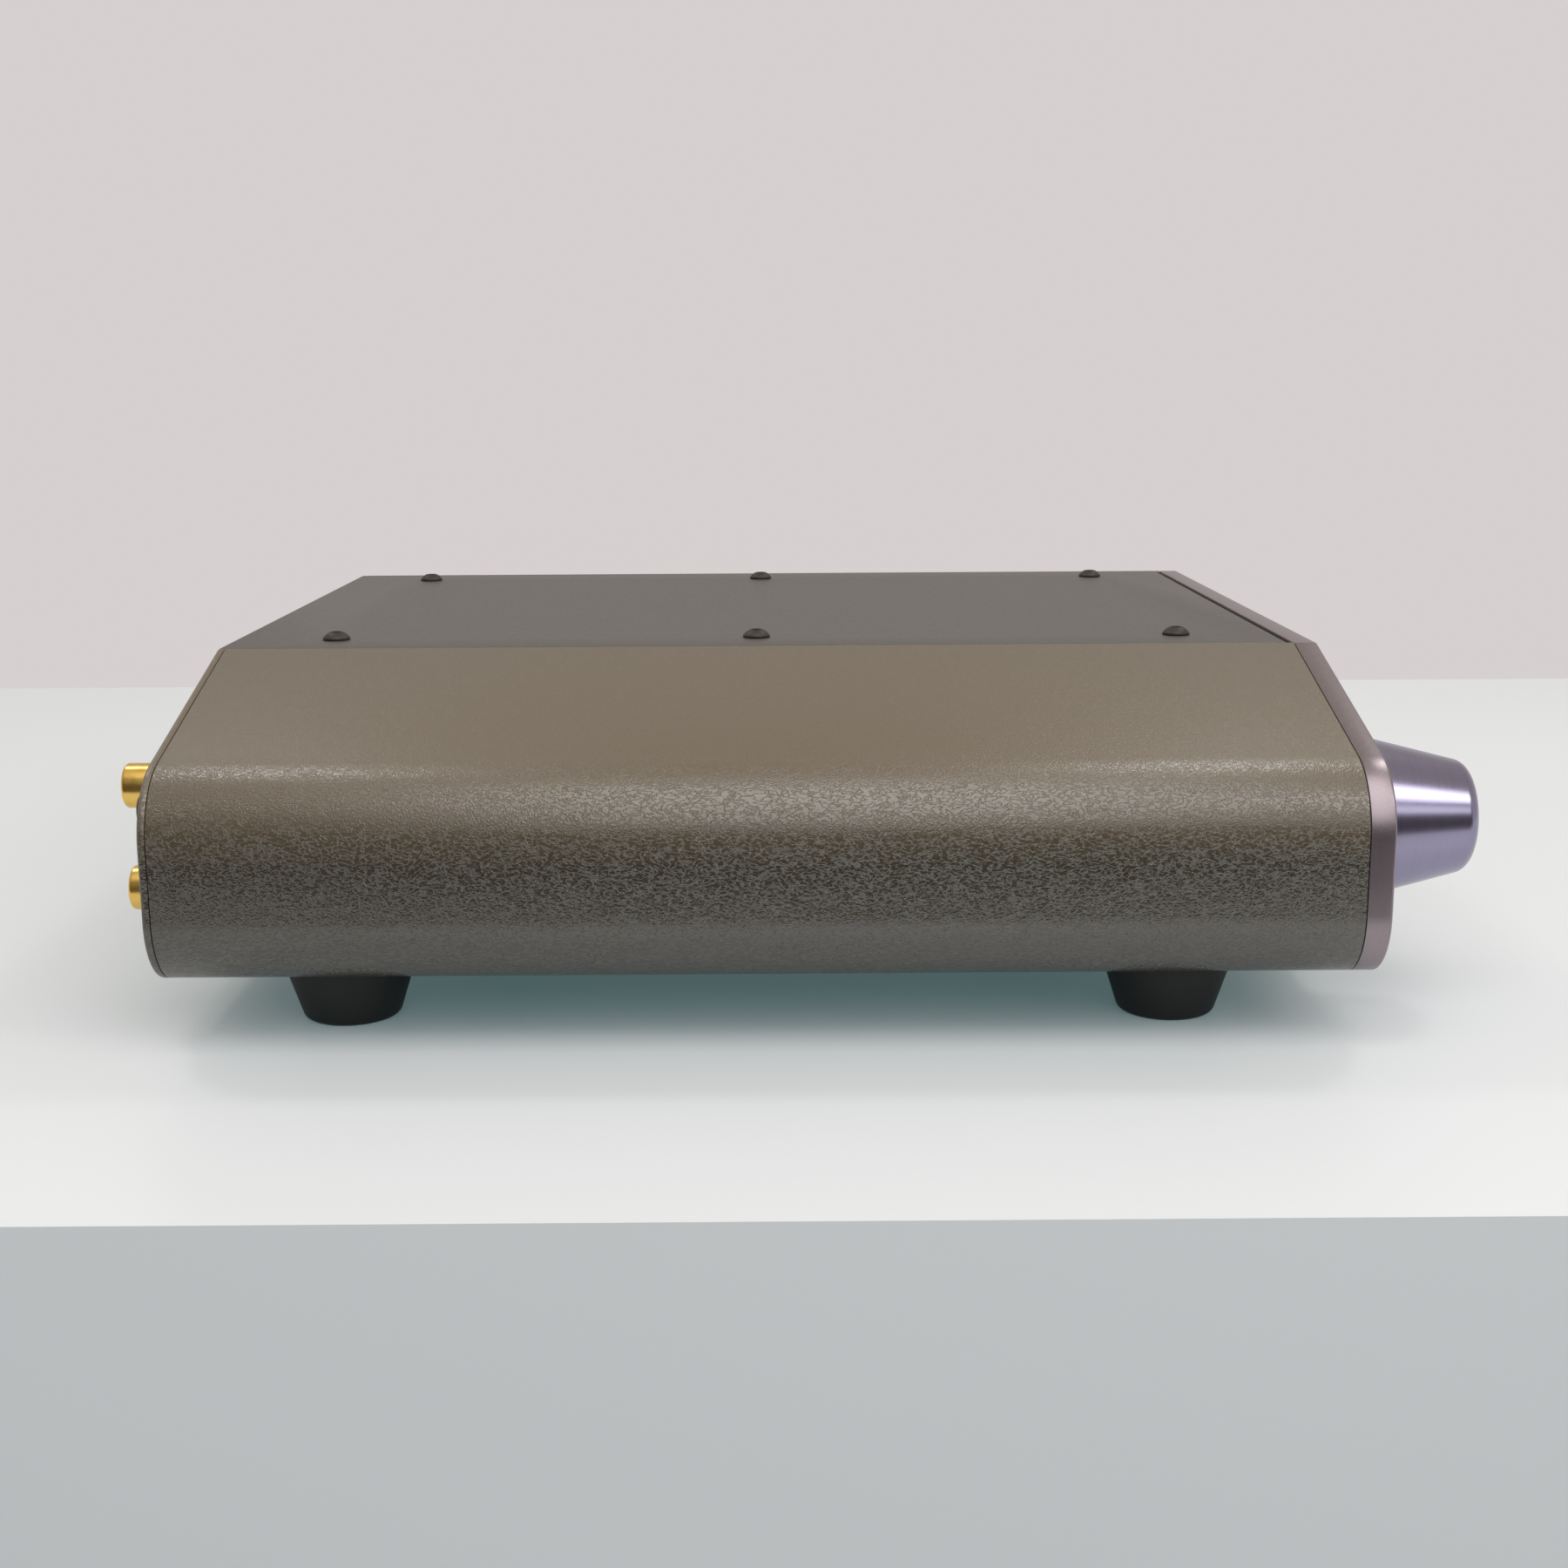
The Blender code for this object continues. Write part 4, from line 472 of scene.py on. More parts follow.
# %% Section of the case
BODY_HALF = 134.5 * MM
TOP_HALF = 74.5 * MM
CASE_Z = 12 * MM
CASE_TOP = 67 * MM
SHOULDER = math.radians(15.9)
UPPER_BEND = 14.4 * MM
LOWER_BEND = 13.5 * MM
WALL = 2 * MM
ARC_STEPS = 24


def shoulder_z(x):
    return CASE_TOP - (x - TOP_HALF) * math.tan(SHOULDER)


upper_x = BODY_HALF - UPPER_BEND
upper_centre = (upper_x, shoulder_z(upper_x) - UPPER_BEND / math.cos(SHOULDER))
lower_centre = (BODY_HALF - LOWER_BEND, CASE_Z + LOWER_BEND)


def draw_side(shape, tip, inset):
    """From the shoulder to the middle of the underside, this far inside the outer face."""
    upper = UPPER_BEND - inset
    lower = LOWER_BEND - inset
    bend_x = upper_centre[0] + upper * math.sin(SHOULDER)
    tip = lines_to(shape, tip, (bend_x, upper_centre[1] + upper * math.cos(SHOULDER)))
    tip = arc_to(shape, tip, upper_centre, 90 - math.degrees(SHOULDER), ARC_STEPS)
    tip = lines_to(shape, tip, (lower_centre[0] + lower, lower_centre[1]))
    tip = arc_to(shape, tip, lower_centre, 90, ARC_STEPS)
    return lines_to(shape, tip, (0, CASE_Z + inset))


def mirror_half(shape):
    """Copies the right half of a section to the left and welds the two."""
    whole = shape.verts[:] + shape.edges[:]
    bmesh.ops.mirror(shape, geom=whole, matrix=Matrix(), merge_dist=WELD, axis="X")
    bmesh.ops.remove_doubles(shape, verts=shape.verts, dist=WELD)


print("upper bend about", [round(c / MM, 2) for c in upper_centre])

# %% Wrap
LEDGE_TOP = 64.7 * MM
LEDGE_BOTTOM = 62.7 * MM
LEDGE_TIP = 57.1 * MM
REBATE = 74.1 * MM  # the step that the cover sits in
RIM_ROUND = 0.25 * MM
RIM_BOW = 0.3 * RIM_ROUND  # halfway round the rim
SEAM_FILL = 0.15 * MM  # the coat narrows the seams to the panels
COAT_EDGE = 0.08 * MM

wrap_low, wrap_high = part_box("chassis_wrap")
front_end = wrap_low.y - SEAM_FILL
rear_end = wrap_high.y + SEAM_FILL
shape = bmesh.new()
ledge_tip = pen(shape, LEDGE_TIP, LEDGE_TOP)
tip = lines_to(
    shape, ledge_tip, (REBATE, LEDGE_TOP), (REBATE, CASE_TOP - RIM_ROUND),
    (REBATE + RIM_BOW, CASE_TOP - RIM_BOW), (REBATE + RIM_ROUND, CASE_TOP), (TOP_HALF, CASE_TOP),
)
draw_side(shape, tip, 0)
drop = CASE_TOP - LEDGE_BOTTOM - WALL / math.cos(SHOULDER)
inner_corner = (TOP_HALF + drop / math.tan(SHOULDER), LEDGE_BOTTOM)
tip = lines_to(shape, ledge_tip, (LEDGE_TIP, LEDGE_BOTTOM), inner_corner)
draw_side(shape, tip, WALL)
mirror_half(shape)
push(shape, front_end, rear_end)
round_edges(shape, edges_at(shape, front_end) + edges_at(shape, rear_end), COAT_EDGE, 2)
finish("wrap_coated", shape, coat, ["chassis_wrap"])

# %% [markdown]
# ## The cover and its screws
#
# The cover is a plain plate let into the rebate of the wrap, with its edges softened by paint. It is held by
# black button-head screws, the only things that break the flat top, so their domes and hex sockets are real
# shapes: a dome profile is spun, a six-sided ring is bridged into its top and then extruded down.

# %% Cover plate
COVER_EDGE = 0.4 * MM
HEAD_GAP = 0.05 * MM  # of paint under a screw head
SCREW_HOLE = 1.8 * MM  # radius
HOLE_REACH = 5 * MM

cover_low, cover_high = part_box("top_cover")
screw_seats = {}
for number in range(1, 7):
    centre = middle_of(f"cover_screw_{number}")
    screw_seats[f"cover_screw_{number}"] = Vector((centre.x, centre.y, cover_high.z + HEAD_GAP))

shape = bmesh.new()
add_box(shape, cover_low, cover_high)
round_edges(shape, shape.edges[:], COVER_EDGE)
holes = bmesh.new()
for seat in screw_seats.values():
    add_rod(holes, seat - HOLE_REACH * UP, seat + HOLE_REACH * UP, SCREW_HOLE, 32)
finish("cover_painted", carve(shape, holes), satin, ["top_cover"])

# %% Button-head screws
HEAD_RADIUS = 2.85 * MM
HEAD_HEIGHT = 1.9 * MM
HEAD_RIM = 0.45 * MM
HEX_KEY = 2 * MM  # across flats
SHANK_RADIUS = 1.5 * MM
COVER_SCREW_SHANK = 6 * MM


def button_screw(head_radius, head_height, rim, key, shank_radius, shank):
    """A screw about Z with its seat at zero: a dome over a hex socket, and a plain shank below."""
    mouth = 0.68 * key  # round chamfer at the mouth of the socket
    mouth_depth = 0.06 * key
    socket_depth = 0.5 * key
    drill_point = 0.15 * key
    rim_edge = 0.25 * rim
    centre = (head_height**2 - rim**2 - head_radius**2) / (2 * (head_height - rim))
    dome = head_height - centre
    mouth_z = centre + math.sqrt(dome**2 - mouth**2)
    sweep = math.degrees(math.asin(head_radius / dome) - math.asin(mouth / dome))
    made = bmesh.new()
    tip = arc_to(made, pen(made, mouth, mouth_z), (0, centre), sweep, 10)
    lines_to(
        made, tip, (head_radius, rim_edge), (head_radius - rim_edge, 0),
        (shank_radius, 0), (shank_radius, -shank), (0, -shank),
    )
    turn(made, 48)
    ring = [edge for edge in made.edges if edge.is_boundary]
    flats = Matrix.Translation((0, 0, mouth_z - mouth_depth))
    bmesh.ops.create_circle(made, segments=6, radius=key / 2 / math.cos(math.pi / 6), matrix=flats)
    hexagon = [edge for edge in made.edges if edge.is_wire]
    bmesh.ops.bridge_loops(made, edges=ring + hexagon)
    sunk = bmesh.ops.extrude_edge_only(made, edges=hexagon)["geom"]
    bmesh.ops.translate(made, verts=verts_in(sunk), vec=(0, 0, -socket_depth))
    floor_edges = [edge for edge in made.edges if edge.is_boundary]
    bottom = bmesh.ops.contextual_create(made, geom=floor_edges)["faces"]
    bmesh.ops.poke(made, faces=bottom, offset=-drill_point)
    bmesh.ops.recalc_face_normals(made, faces=made.faces)
    return made


for name, seat in screw_seats.items():
    shape = button_screw(HEAD_RADIUS, HEAD_HEIGHT, HEAD_RIM, HEX_KEY, SHANK_RADIUS, COVER_SCREW_SHANK)
    face_to(shape, UP, seat)
    finish(f"{name}_black", shape, black_steel, [name])

# %% [markdown]
# ## The two end panels
#
# Both panels repeat the outline of the case. The front one is a thick plate that stands flush with the cover,
# with small round corners and a rounded face edge. The rear one is thin coated sheet with larger corners and
# a notch that the cover reaches over. The same pens draw the outline, then the edges are rounded and the
# holes cut.

# %% Plates with the outline of the case
FACE_EDGE = 0.6 * MM
BACK_EDGE = 0.2 * MM
SEAM = 0.3 * MM  # between a panel and what sits against it


def panel(low, high, corner, face_y, back_y):
    """A plate with rounded upper corners, softer round its face than round its back."""
    shape = bmesh.new()
    centre = (TOP_HALF - corner * math.tan(SHOULDER / 2), CASE_TOP - corner)
    tip = lines_to(shape, pen(shape, 0, CASE_TOP), (centre[0], CASE_TOP))
    tip = arc_to(shape, tip, centre, math.degrees(SHOULDER), 6)
    draw_side(shape, tip, 0)
    mirror_half(shape)
    push(shape, low.y, high.y)
    round_edges(shape, edges_at(shape, face_y), FACE_EDGE, 4)
    round_edges(shape, edges_at(shape, back_y), BACK_EDGE, 2)
    return shape


def drill(holes, name, low, high, radius):
    """Adds a rod that goes through a plate in line with the middle of a solid."""
    centre = middle_of(name)
    add_rod(holes, at_y(centre, low.y - MM), at_y(centre, high.y + MM), radius)


# %% Front panel
FRONT_CORNER = 2 * MM
INDICATORS = ("lamp_1", "lamp_2", "lamp_3")
FRONT_HOLES = {  # radius
    "volume_pot": 4.8 * MM, "headphone_jack": 5.3 * MM, "input_button": 4.15 * MM,
    **dict.fromkeys(INDICATORS, 1.8 * MM),
}

front_low, front_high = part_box("front_panel")
shape = panel(front_low, front_high, FRONT_CORNER, front_low.y, front_high.y)
holes = bmesh.new()
for name, radius in FRONT_HOLES.items():
    drill(holes, name, front_low, front_high, radius)
finish("front_panel_anodised", carve(shape, holes), plum, ["front_panel"])

# %% Rear panel
REAR_CORNER = 4 * MM
JACKS = ("line_out_upper", "line_out_lower", "coax_in")
JACK_HOLE = 4.55 * MM
TIE_RODS = [f"tie_rod_{number}" for number in range(1, 5)]
# width and height in mm
CUTOUTS = {"usb_shell": (12.6, 11.6), "mains_inlet": (28, 20.2), "rocker_frame": (13.6, 19.6)}

rear_low, rear_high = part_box("rear_panel")
shape = panel(rear_low, rear_high, REAR_CORNER, rear_high.y, rear_low.y)
holes = bmesh.new()
add_box(holes, (-REBATE, rear_low.y - MM, LEDGE_TOP), (REBATE, rear_high.y + MM, CASE_TOP + MM))
for name in JACKS:
    drill(holes, f"{name}_shell", rear_low, rear_high, JACK_HOLE)
for name, (width, height) in CUTOUTS.items():
    half = Vector((width / 2, 0, height / 2)) * MM
    add_bar(holes, middle_of(name), rear_low.y - MM, rear_high.y + MM, half)
for name in TIE_RODS:
    drill(holes, name, rear_low, rear_high, SCREW_HOLE)
finish("rear_panel_coated", carve(shape, holes), coat, ["rear_panel"])

# %% Tie rods
ROD_HEAD = 0.8 * MM
ROD_RIM = 0.4 * MM

for name in TIE_RODS:
    low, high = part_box(name)
    centre = (low + high) / 2
    seat_y = high.y - ROD_HEAD
    shape = button_screw(HEAD_RADIUS, ROD_HEAD, ROD_RIM, HEX_KEY, SHANK_RADIUS, seat_y - low.y)
    face_to(shape, REAR, at_y(centre, seat_y))
    finish(f"{name}_black", shape, black_steel, [name])

# %% [markdown]
# ## Feet
#
# Four tapered rubber feet carry the case. Each is one spin of a profile with a rounded tread and a recess for
# its screw. The screw in it is a pan head, made by the same function as the cover screws with rounder sizes.

# %% Rubber feet
FOOT_TOP_RADIUS = 12.7 * MM
FOOT_TREAD_RADIUS = 9.15 * MM
FOOT_TOP_EDGE = 0.5 * MM
FOOT_EDGE = 1.6 * MM
FOOT_HOLE = 2.3 * MM
RECESS_RADIUS = 4.5 * MM
RECESS_DEPTH = 5.5 * MM
RECESS_EDGE = 0.3 * MM
PAN_RADIUS = 3.6 * MM
PAN_HEIGHT = 2.4 * MM
PAN_RIM = 1 * MM
PAN_KEY = 2.5 * MM
PAN_SHANK_RADIUS = 2 * MM

for corner in ("front_left", "front_right", "rear_left", "rear_right"):
    low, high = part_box(f"foot_{corner}")
    height = high.z - low.z
    slope = math.atan((FOOT_TOP_RADIUS - FOOT_TREAD_RADIUS) / height)
    top_x = FOOT_TOP_RADIUS - FOOT_TOP_EDGE
    edge_x = FOOT_TREAD_RADIUS + FOOT_EDGE * math.tan(slope) - FOOT_EDGE / math.cos(slope)
    edge_start = (edge_x + FOOT_EDGE * math.cos(slope), FOOT_EDGE - FOOT_EDGE * math.sin(slope))
    shape = bmesh.new()
    first = pen(shape, FOOT_HOLE, height)
    tip = lines_to(shape, first, (top_x, height))
    tip = arc_to(shape, tip, (top_x, height - FOOT_TOP_EDGE), 90 + math.degrees(slope), 5)
    tip = lines_to(shape, tip, edge_start)
    tip = arc_to(shape, tip, (edge_x, FOOT_EDGE), 90 - math.degrees(slope), 8)
    tip = lines_to(
        shape, tip, (RECESS_RADIUS + RECESS_EDGE, 0), (RECESS_RADIUS, RECESS_EDGE),
        (RECESS_RADIUS, RECESS_DEPTH), (FOOT_HOLE, RECESS_DEPTH),
    )
    shape.edges.new((tip, first))
    turn(shape)
    centre = (low + high) / 2
    face_to(shape, UP, Vector((centre.x, centre.y, low.z)))
    finish(f"foot_{corner}_rubber", shape, finishes["moulded black rubber"], [f"foot_{corner}"])

    name = f"foot_screw_{corner}"
    low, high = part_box(name)
    seat_z = low.z + PAN_HEIGHT
    shape = button_screw(PAN_RADIUS, PAN_HEIGHT, PAN_RIM, PAN_KEY, PAN_SHANK_RADIUS, high.z - seat_z)
    face_to(shape, -UP, Vector((centre.x, centre.y, seat_z)))
    finish(f"{name}_zinc", shape, zinc, [name])

# %% [markdown]
# ## The knob
#
# The knob is a turned cone with a well-rounded front edge and a recess behind that hides the nut. Its profile
# is spun first. An index dimple on its face and the hole of the grub screw at its side are cut afterwards,
# and turn with it.

# %% Knob
KNOB_BASE = 16.5 * MM
KNOB_NOSE = 10.55 * MM
KNOB_EDGE = 3.4 * MM
KNOB_BACK_EDGE = 0.4 * MM
NUT_RECESS = 9 * MM
NUT_DEPTH = 4.6 * MM
FACE_RING = 4 * MM  # an edge loop between the middle of the face and the dimple
SHAFT_BORE = 3.2 * MM
SHAFT_DEPTH = 10.4 * MM
GRUB_HOLE = 1.65 * MM
GRUB_HOLE_ENDS = (4 * MM, 20 * MM)  # from the axis
DIMPLE_RADIUS = 1 * MM
DIMPLE_LIFT = 0.35 * MM  # of the ball's centre from the face
DIMPLE_PLACE = 5.2 * MM  # above the axis

length = knob_high.y - knob_low.y
slope = math.atan((KNOB_BASE - KNOB_NOSE) / length)
edge_z = length - KNOB_EDGE
edge_x = KNOB_BASE - edge_z * math.tan(slope) - KNOB_EDGE / math.cos(slope)
shape = bmesh.new()
tip = lines_to(shape, pen(shape, 0, length), (FACE_RING, length), (edge_x, length))
tip = arc_to(shape, tip, (edge_x, edge_z), 90 - math.degrees(slope), 16)
shaft_end = NUT_DEPTH + SHAFT_DEPTH
lines_to(
    shape, tip, (KNOB_BASE - KNOB_BACK_EDGE * math.tan(slope), KNOB_BACK_EDGE),
    (KNOB_BASE - KNOB_BACK_EDGE, 0), (NUT_RECESS, 0), (NUT_RECESS, NUT_DEPTH), (SHAFT_BORE, NUT_DEPTH),
    (SHAFT_BORE, shaft_end), (0, shaft_end),
)
turn(shape, 128)
face_to(shape, FRONT, at_y(knob_axis, knob_high.y))
marks = bmesh.new()
grub = middle_of("knob_grub_screw")
hole_ends = [(knob_axis.x + reach, grub.y, grub.z) for reach in GRUB_HOLE_ENDS]
add_rod(marks, *hole_ends, GRUB_HOLE, 32)
ball = Matrix.Translation((knob_axis.x, knob_low.y - DIMPLE_LIFT, knob_axis.z + DIMPLE_PLACE))
bmesh.ops.create_uvsphere(marks, u_segments=32, v_segments=16, radius=DIMPLE_RADIUS, matrix=ball)
finish("knob_turned", carve(shape, marks), violet, ["volume_knob"], "volume")

# %% [markdown]
# ## Front controls
#
# Beside the knob sit a headphone socket in a ring nut, a push button and a row of lamps. All are turned
# parts, so each is a spun profile. The socket also keeps the square moulded body behind the panel, joined on
# with a Boolean.

# %% Headphone socket
SOCKET_EDGE = 0.6 * MM
BUSH_RADIUS = 5 * MM
BUSH_EDGE = 0.4 * MM
BUSH_ROOT = 3 * MM  # how far the bush reaches into the body
PLUG_RADIUS = 3.2 * MM
PLUG_DEPTH = 30 * MM
FLARE = 0.6 * MM  # of the bore at its mouth
FLARE_DEPTH = 0.5 * MM

jack_low, jack_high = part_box("headphone_jack")
jack = (jack_low + jack_high) / 2
body_front = front_high.y + SEAM
bush_length = body_front + BUSH_ROOT - jack_low.y
shape = bmesh.new()
add_box(shape, (jack_low.x, body_front, jack_low.z), jack_high)
round_edges(shape, shape.edges[:], SOCKET_EDGE)
bush = bmesh.new()
lines_to(
    bush, pen(bush, 0, bush_length), (BUSH_RADIUS - BUSH_EDGE, bush_length),
    (BUSH_RADIUS, bush_length - BUSH_EDGE), (BUSH_RADIUS, 0), (0, 0),
)
turn(bush, 64)
face_to(bush, FRONT, at_y(jack, body_front + BUSH_ROOT))
shape = carve(shape, bush, "UNION")
bore = bmesh.new()
flare_start = PLUG_DEPTH - FLARE_DEPTH
lines_to(
    bore, pen(bore, 0, 0), (PLUG_RADIUS, 0), (PLUG_RADIUS, flare_start),
    (PLUG_RADIUS + FLARE, flare_start + FLARE), (PLUG_RADIUS + FLARE, PLUG_DEPTH + MM),
    (0, PLUG_DEPTH + MM),
)
turn(bore, 64)
face_to(bore, FRONT, at_y(jack, jack_low.y + PLUG_DEPTH))
finish("headphone_socket_moulded", carve(shape, bore), plastic, ["headphone_jack"])

# %% Ring nut
RING_BORE = 5.3 * MM
RING_RADIUS = 7 * MM
RING_EDGE = 0.6 * MM
RING_MOUTH = 0.3 * MM
SLOT_HALF = Vector((9, 0, 0.6)) * MM  # right across the ring
SLOT_DEPTH = 0.7 * MM

nut_low, nut_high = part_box("headphone_ring_nut")
thickness = nut_high.y - nut_low.y
edge_x = RING_RADIUS - RING_EDGE
shape = bmesh.new()
first = pen(shape, RING_BORE, 0)
tip = lines_to(
    shape, first, (RING_BORE, thickness - RING_MOUTH), (RING_BORE + RING_MOUTH, thickness),
    (edge_x, thickness),
)
tip = arc_to(shape, tip, (edge_x, thickness - RING_EDGE), 90, 6)
tip = lines_to(shape, tip, (RING_RADIUS, 0))
shape.edges.new((tip, first))
turn(shape)
face_to(shape, FRONT, at_y(jack, nut_high.y))
slots = bmesh.new()
add_bar(slots, jack, nut_low.y - MM, nut_low.y + SLOT_DEPTH, SLOT_HALF)
finish("headphone_ring_turned", carve(shape, slots), plum, ["headphone_ring_nut"])

# %% Input button
BUTTON_RADIUS = 4 * MM
BUTTON_EDGE = 0.6 * MM
DISH_DEPTH = 0.25 * MM
DISH = ((2 * MM, -0.2 * MM), (3.2 * MM, 0))  # from the middle of the face out to its rim
COLLAR_RADIUS = 5.2 * MM
COLLAR_THICKNESS = 1 * MM
STEM_RADIUS = 1.6 * MM

button_low, button_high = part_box("input_button")
button = (button_low + button_high) / 2
length = button_high.y - button_low.y
collar_front = front_high.y + SEAM - button_low.y  # depths behind the face
collar_back = collar_front + COLLAR_THICKNESS
edge_x = BUTTON_RADIUS - BUTTON_EDGE
shape = bmesh.new()
tip = lines_to(shape, pen(shape, 0, -DISH_DEPTH), *DISH, (edge_x, 0))
tip = arc_to(shape, tip, (edge_x, -BUTTON_EDGE), 90, 6)
lines_to(
    shape, tip, (BUTTON_RADIUS, -collar_front), (COLLAR_RADIUS, -collar_front),
    (COLLAR_RADIUS, -collar_back), (STEM_RADIUS, -collar_back), (STEM_RADIUS, -length), (0, -length),
)
turn(shape, 64)
face_to(shape, FRONT, at_y(button, button_low.y))
finish("input_button_turned", shape, violet, ["input_button"], "input_button")

# %% Indicator lamps
LAMP_RADIUS = 1.5 * MM
FLANGE_RADIUS = 1.9 * MM
FLANGE_THICKNESS = 1 * MM

for name in INDICATORS:
    low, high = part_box(name)
    centre = (low + high) / 2
    length = high.y - low.y
    shape = bmesh.new()
    tip = arc_to(shape, pen(shape, 0, length), (0, length - LAMP_RADIUS), 90, 12)
    lines_to(
        shape, tip, (LAMP_RADIUS, FLANGE_THICKNESS), (FLANGE_RADIUS, FLANGE_THICKNESS),
        (FLANGE_RADIUS, 0), (0, 0),
    )
    turn(shape, 32)
    face_to(shape, FRONT, at_y(centre, high.y))
    finish(f"{name}_frosted", shape, finishes["frosted lamp plastic"], [name])

# %% [markdown]
# ## Phono sockets
#
# The gold shells stand out behind the rear panel and catch the light from every side, so their lip is well
# rounded. Inside sits a black insulator with a gold sleeve for the pin.

# %% Phono sockets
LIP_SHORT = 0.9 * MM  # the sockets are drawn this much shorter than their solids
SHELL_RADIUS = 4.25 * MM
SHELL_BORE = 3.4 * MM
LIP_ROUND = 0.7 * MM
CORE_RADIUS = 3.35 * MM
CORE_EDGE = 0.2 * MM
PIN_RADIUS = 1.65 * MM
PIN_DEPTH = 8.5 * MM
PIN_MOUTH = 0.25 * MM
SLEEVE_RADIUS = 1.55 * MM
SLEEVE_BORE = 1.3 * MM
SLEEVE_SUNK = 0.6 * MM  # below the face of the insulator
SLEEVE_EDGE = 0.2 * MM

for name in JACKS:
    low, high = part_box(f"{name}_shell")
    centre = (low + high) / 2
    end = high.y - low.y - LIP_SHORT
    lip_x = SHELL_RADIUS - LIP_ROUND
    shape = bmesh.new()
    first = pen(shape, SHELL_BORE, 0)
    tip = lines_to(shape, first, (SHELL_BORE, end - CORE_EDGE), (lip_x, end))
    tip = arc_to(shape, tip, (lip_x, end - LIP_ROUND), 90, 8)
    tip = lines_to(shape, tip, (SHELL_RADIUS, 0))
    shape.edges.new((tip, first))
    turn(shape, 64)
    face_to(shape, REAR, at_y(centre, low.y))
    finish(f"{name}_gold", shape, gold, [f"{name}_shell"])

    low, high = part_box(f"{name}_core")
    base = at_y(centre, low.y)
    end = high.y - low.y - LIP_SHORT
    shape = bmesh.new()
    lines_to(
        shape, pen(shape, 0, 0), (CORE_RADIUS, 0), (CORE_RADIUS, end - CORE_EDGE),
        (CORE_RADIUS - CORE_EDGE, end), (PIN_RADIUS + PIN_MOUTH, end), (PIN_RADIUS, end - PIN_MOUTH),
        (PIN_RADIUS, end - PIN_DEPTH), (0, end - PIN_DEPTH),
    )
    turn(shape, 48)
    face_to(shape, REAR, base)
    finish(f"{name}_insulator", shape, plastic, [f"{name}_core"])

    sleeve_floor = end - PIN_DEPTH + SLEEVE_EDGE
    shape = bmesh.new()
    first = pen(shape, SLEEVE_RADIUS, sleeve_floor)
    tip = lines_to(
        shape, first, (SLEEVE_RADIUS, end - SLEEVE_SUNK),
        (SLEEVE_BORE, end - SLEEVE_SUNK - SLEEVE_EDGE), (SLEEVE_BORE, sleeve_floor),
    )
    shape.edges.new((tip, first))
    turn(shape, 32)
    face_to(shape, REAR, base)
    finish(f"{name}_contact", shape, gold, [])

# %% [markdown]
# ## USB socket
#
# A square digital socket is folded from plated sheet, with its upper corners cut at a slant so that a plug
# goes in one way only. A plastic tongue in its mouth carries four contacts. The mains inlet below has a mouth
# of the same kind, so one function draws both.

# %% USB socket
USB_FOLD = 0.8 * MM
USB_MOUTH = (4.25 * MM, 3.9 * MM)  # half its width and height
USB_SLANT = (1.65 * MM, 1.7 * MM)
USB_DEPTH = 9.5 * MM


def slanted_mouth(centre, half, slant, outer_y, depth):
    """A cutter for the mouth of a socket, with its two upper corners cut at a slant."""
    left, right = centre.x - half[0], centre.x + half[0]
    bottom, top = centre.z - half[1], centre.z + half[1]
    mouth = bmesh.new()
    first = pen(mouth, left, bottom)
    tip = lines_to(
        mouth, first, (left, top - slant[1]), (left + slant[0], top),
        (right - slant[0], top), (right, top - slant[1]), (right, bottom),
    )
    mouth.edges.new((tip, first))
    push(mouth, outer_y - depth, outer_y + MM)
    return mouth


usb_low, usb_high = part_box("usb_shell")
usb = (usb_low + usb_high) / 2
shape = bmesh.new()
add_box(shape, usb_low, usb_high)
round_edges(shape, edges_along_y(shape), USB_FOLD, 4)
mouth = slanted_mouth(usb, USB_MOUTH, USB_SLANT, usb_high.y, USB_DEPTH)
finish("usb_shell_plated", carve(shape, mouth), zinc, ["usb_shell"])

# %% USB tongue and contacts
TONGUE_EDGE = 0.3 * MM
CONTACT_PLACE = 1.25 * MM  # to either side of the middle
CONTACT_HALF = Vector((0.5, 0, 0.1)) * MM
CONTACT_ENDS = (1 * MM, 0.6 * MM)  # short of the tongue's back and front

tongue_low, tongue_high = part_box("usb_tongue")
shape = bmesh.new()
add_box(shape, tongue_low, tongue_high)
round_edges(shape, shape.edges[:], TONGUE_EDGE)
finish("usb_tongue_moulded", shape, plastic, ["usb_tongue"])

back_y = tongue_low.y + CONTACT_ENDS[0]
front_y = tongue_high.y - CONTACT_ENDS[1]
shape = bmesh.new()
for x in (usb.x - CONTACT_PLACE, usb.x + CONTACT_PLACE):
    for z in (tongue_low.z, tongue_high.z):
        add_bar(shape, Vector((x, 0, z)), back_y, front_y, CONTACT_HALF)
finish("usb_contacts", shape, gold, [])

# %% [markdown]
# ## Mains inlet and power switch
#
# The inlet is a moulded flange with a slant-cornered mouth and three flat blades. The switch beside it is a
# rocker on a pivot in a framed well. At rest its lower end is in, so its two faces lean, and the printed
# stroke and ring lean with them and ride on the rocker.

# %% Mains inlet
FLANGE_EDGE = 0.5 * MM
INLET_CORNER = 2 * MM
INLET_BODY = Vector((13.7, 0, 9.8)) * MM  # half its width and height
INLET_BODY_DEPTH = 20 * MM
INLET_MOUTH = (12.2 * MM, 8.3 * MM)
INLET_SLANT = (4.5 * MM, 4.5 * MM)
INLET_DEPTH = 16.5 * MM
MOUTH_CORNER = 0.8 * MM
flange_y = rear_high.y + SEAM


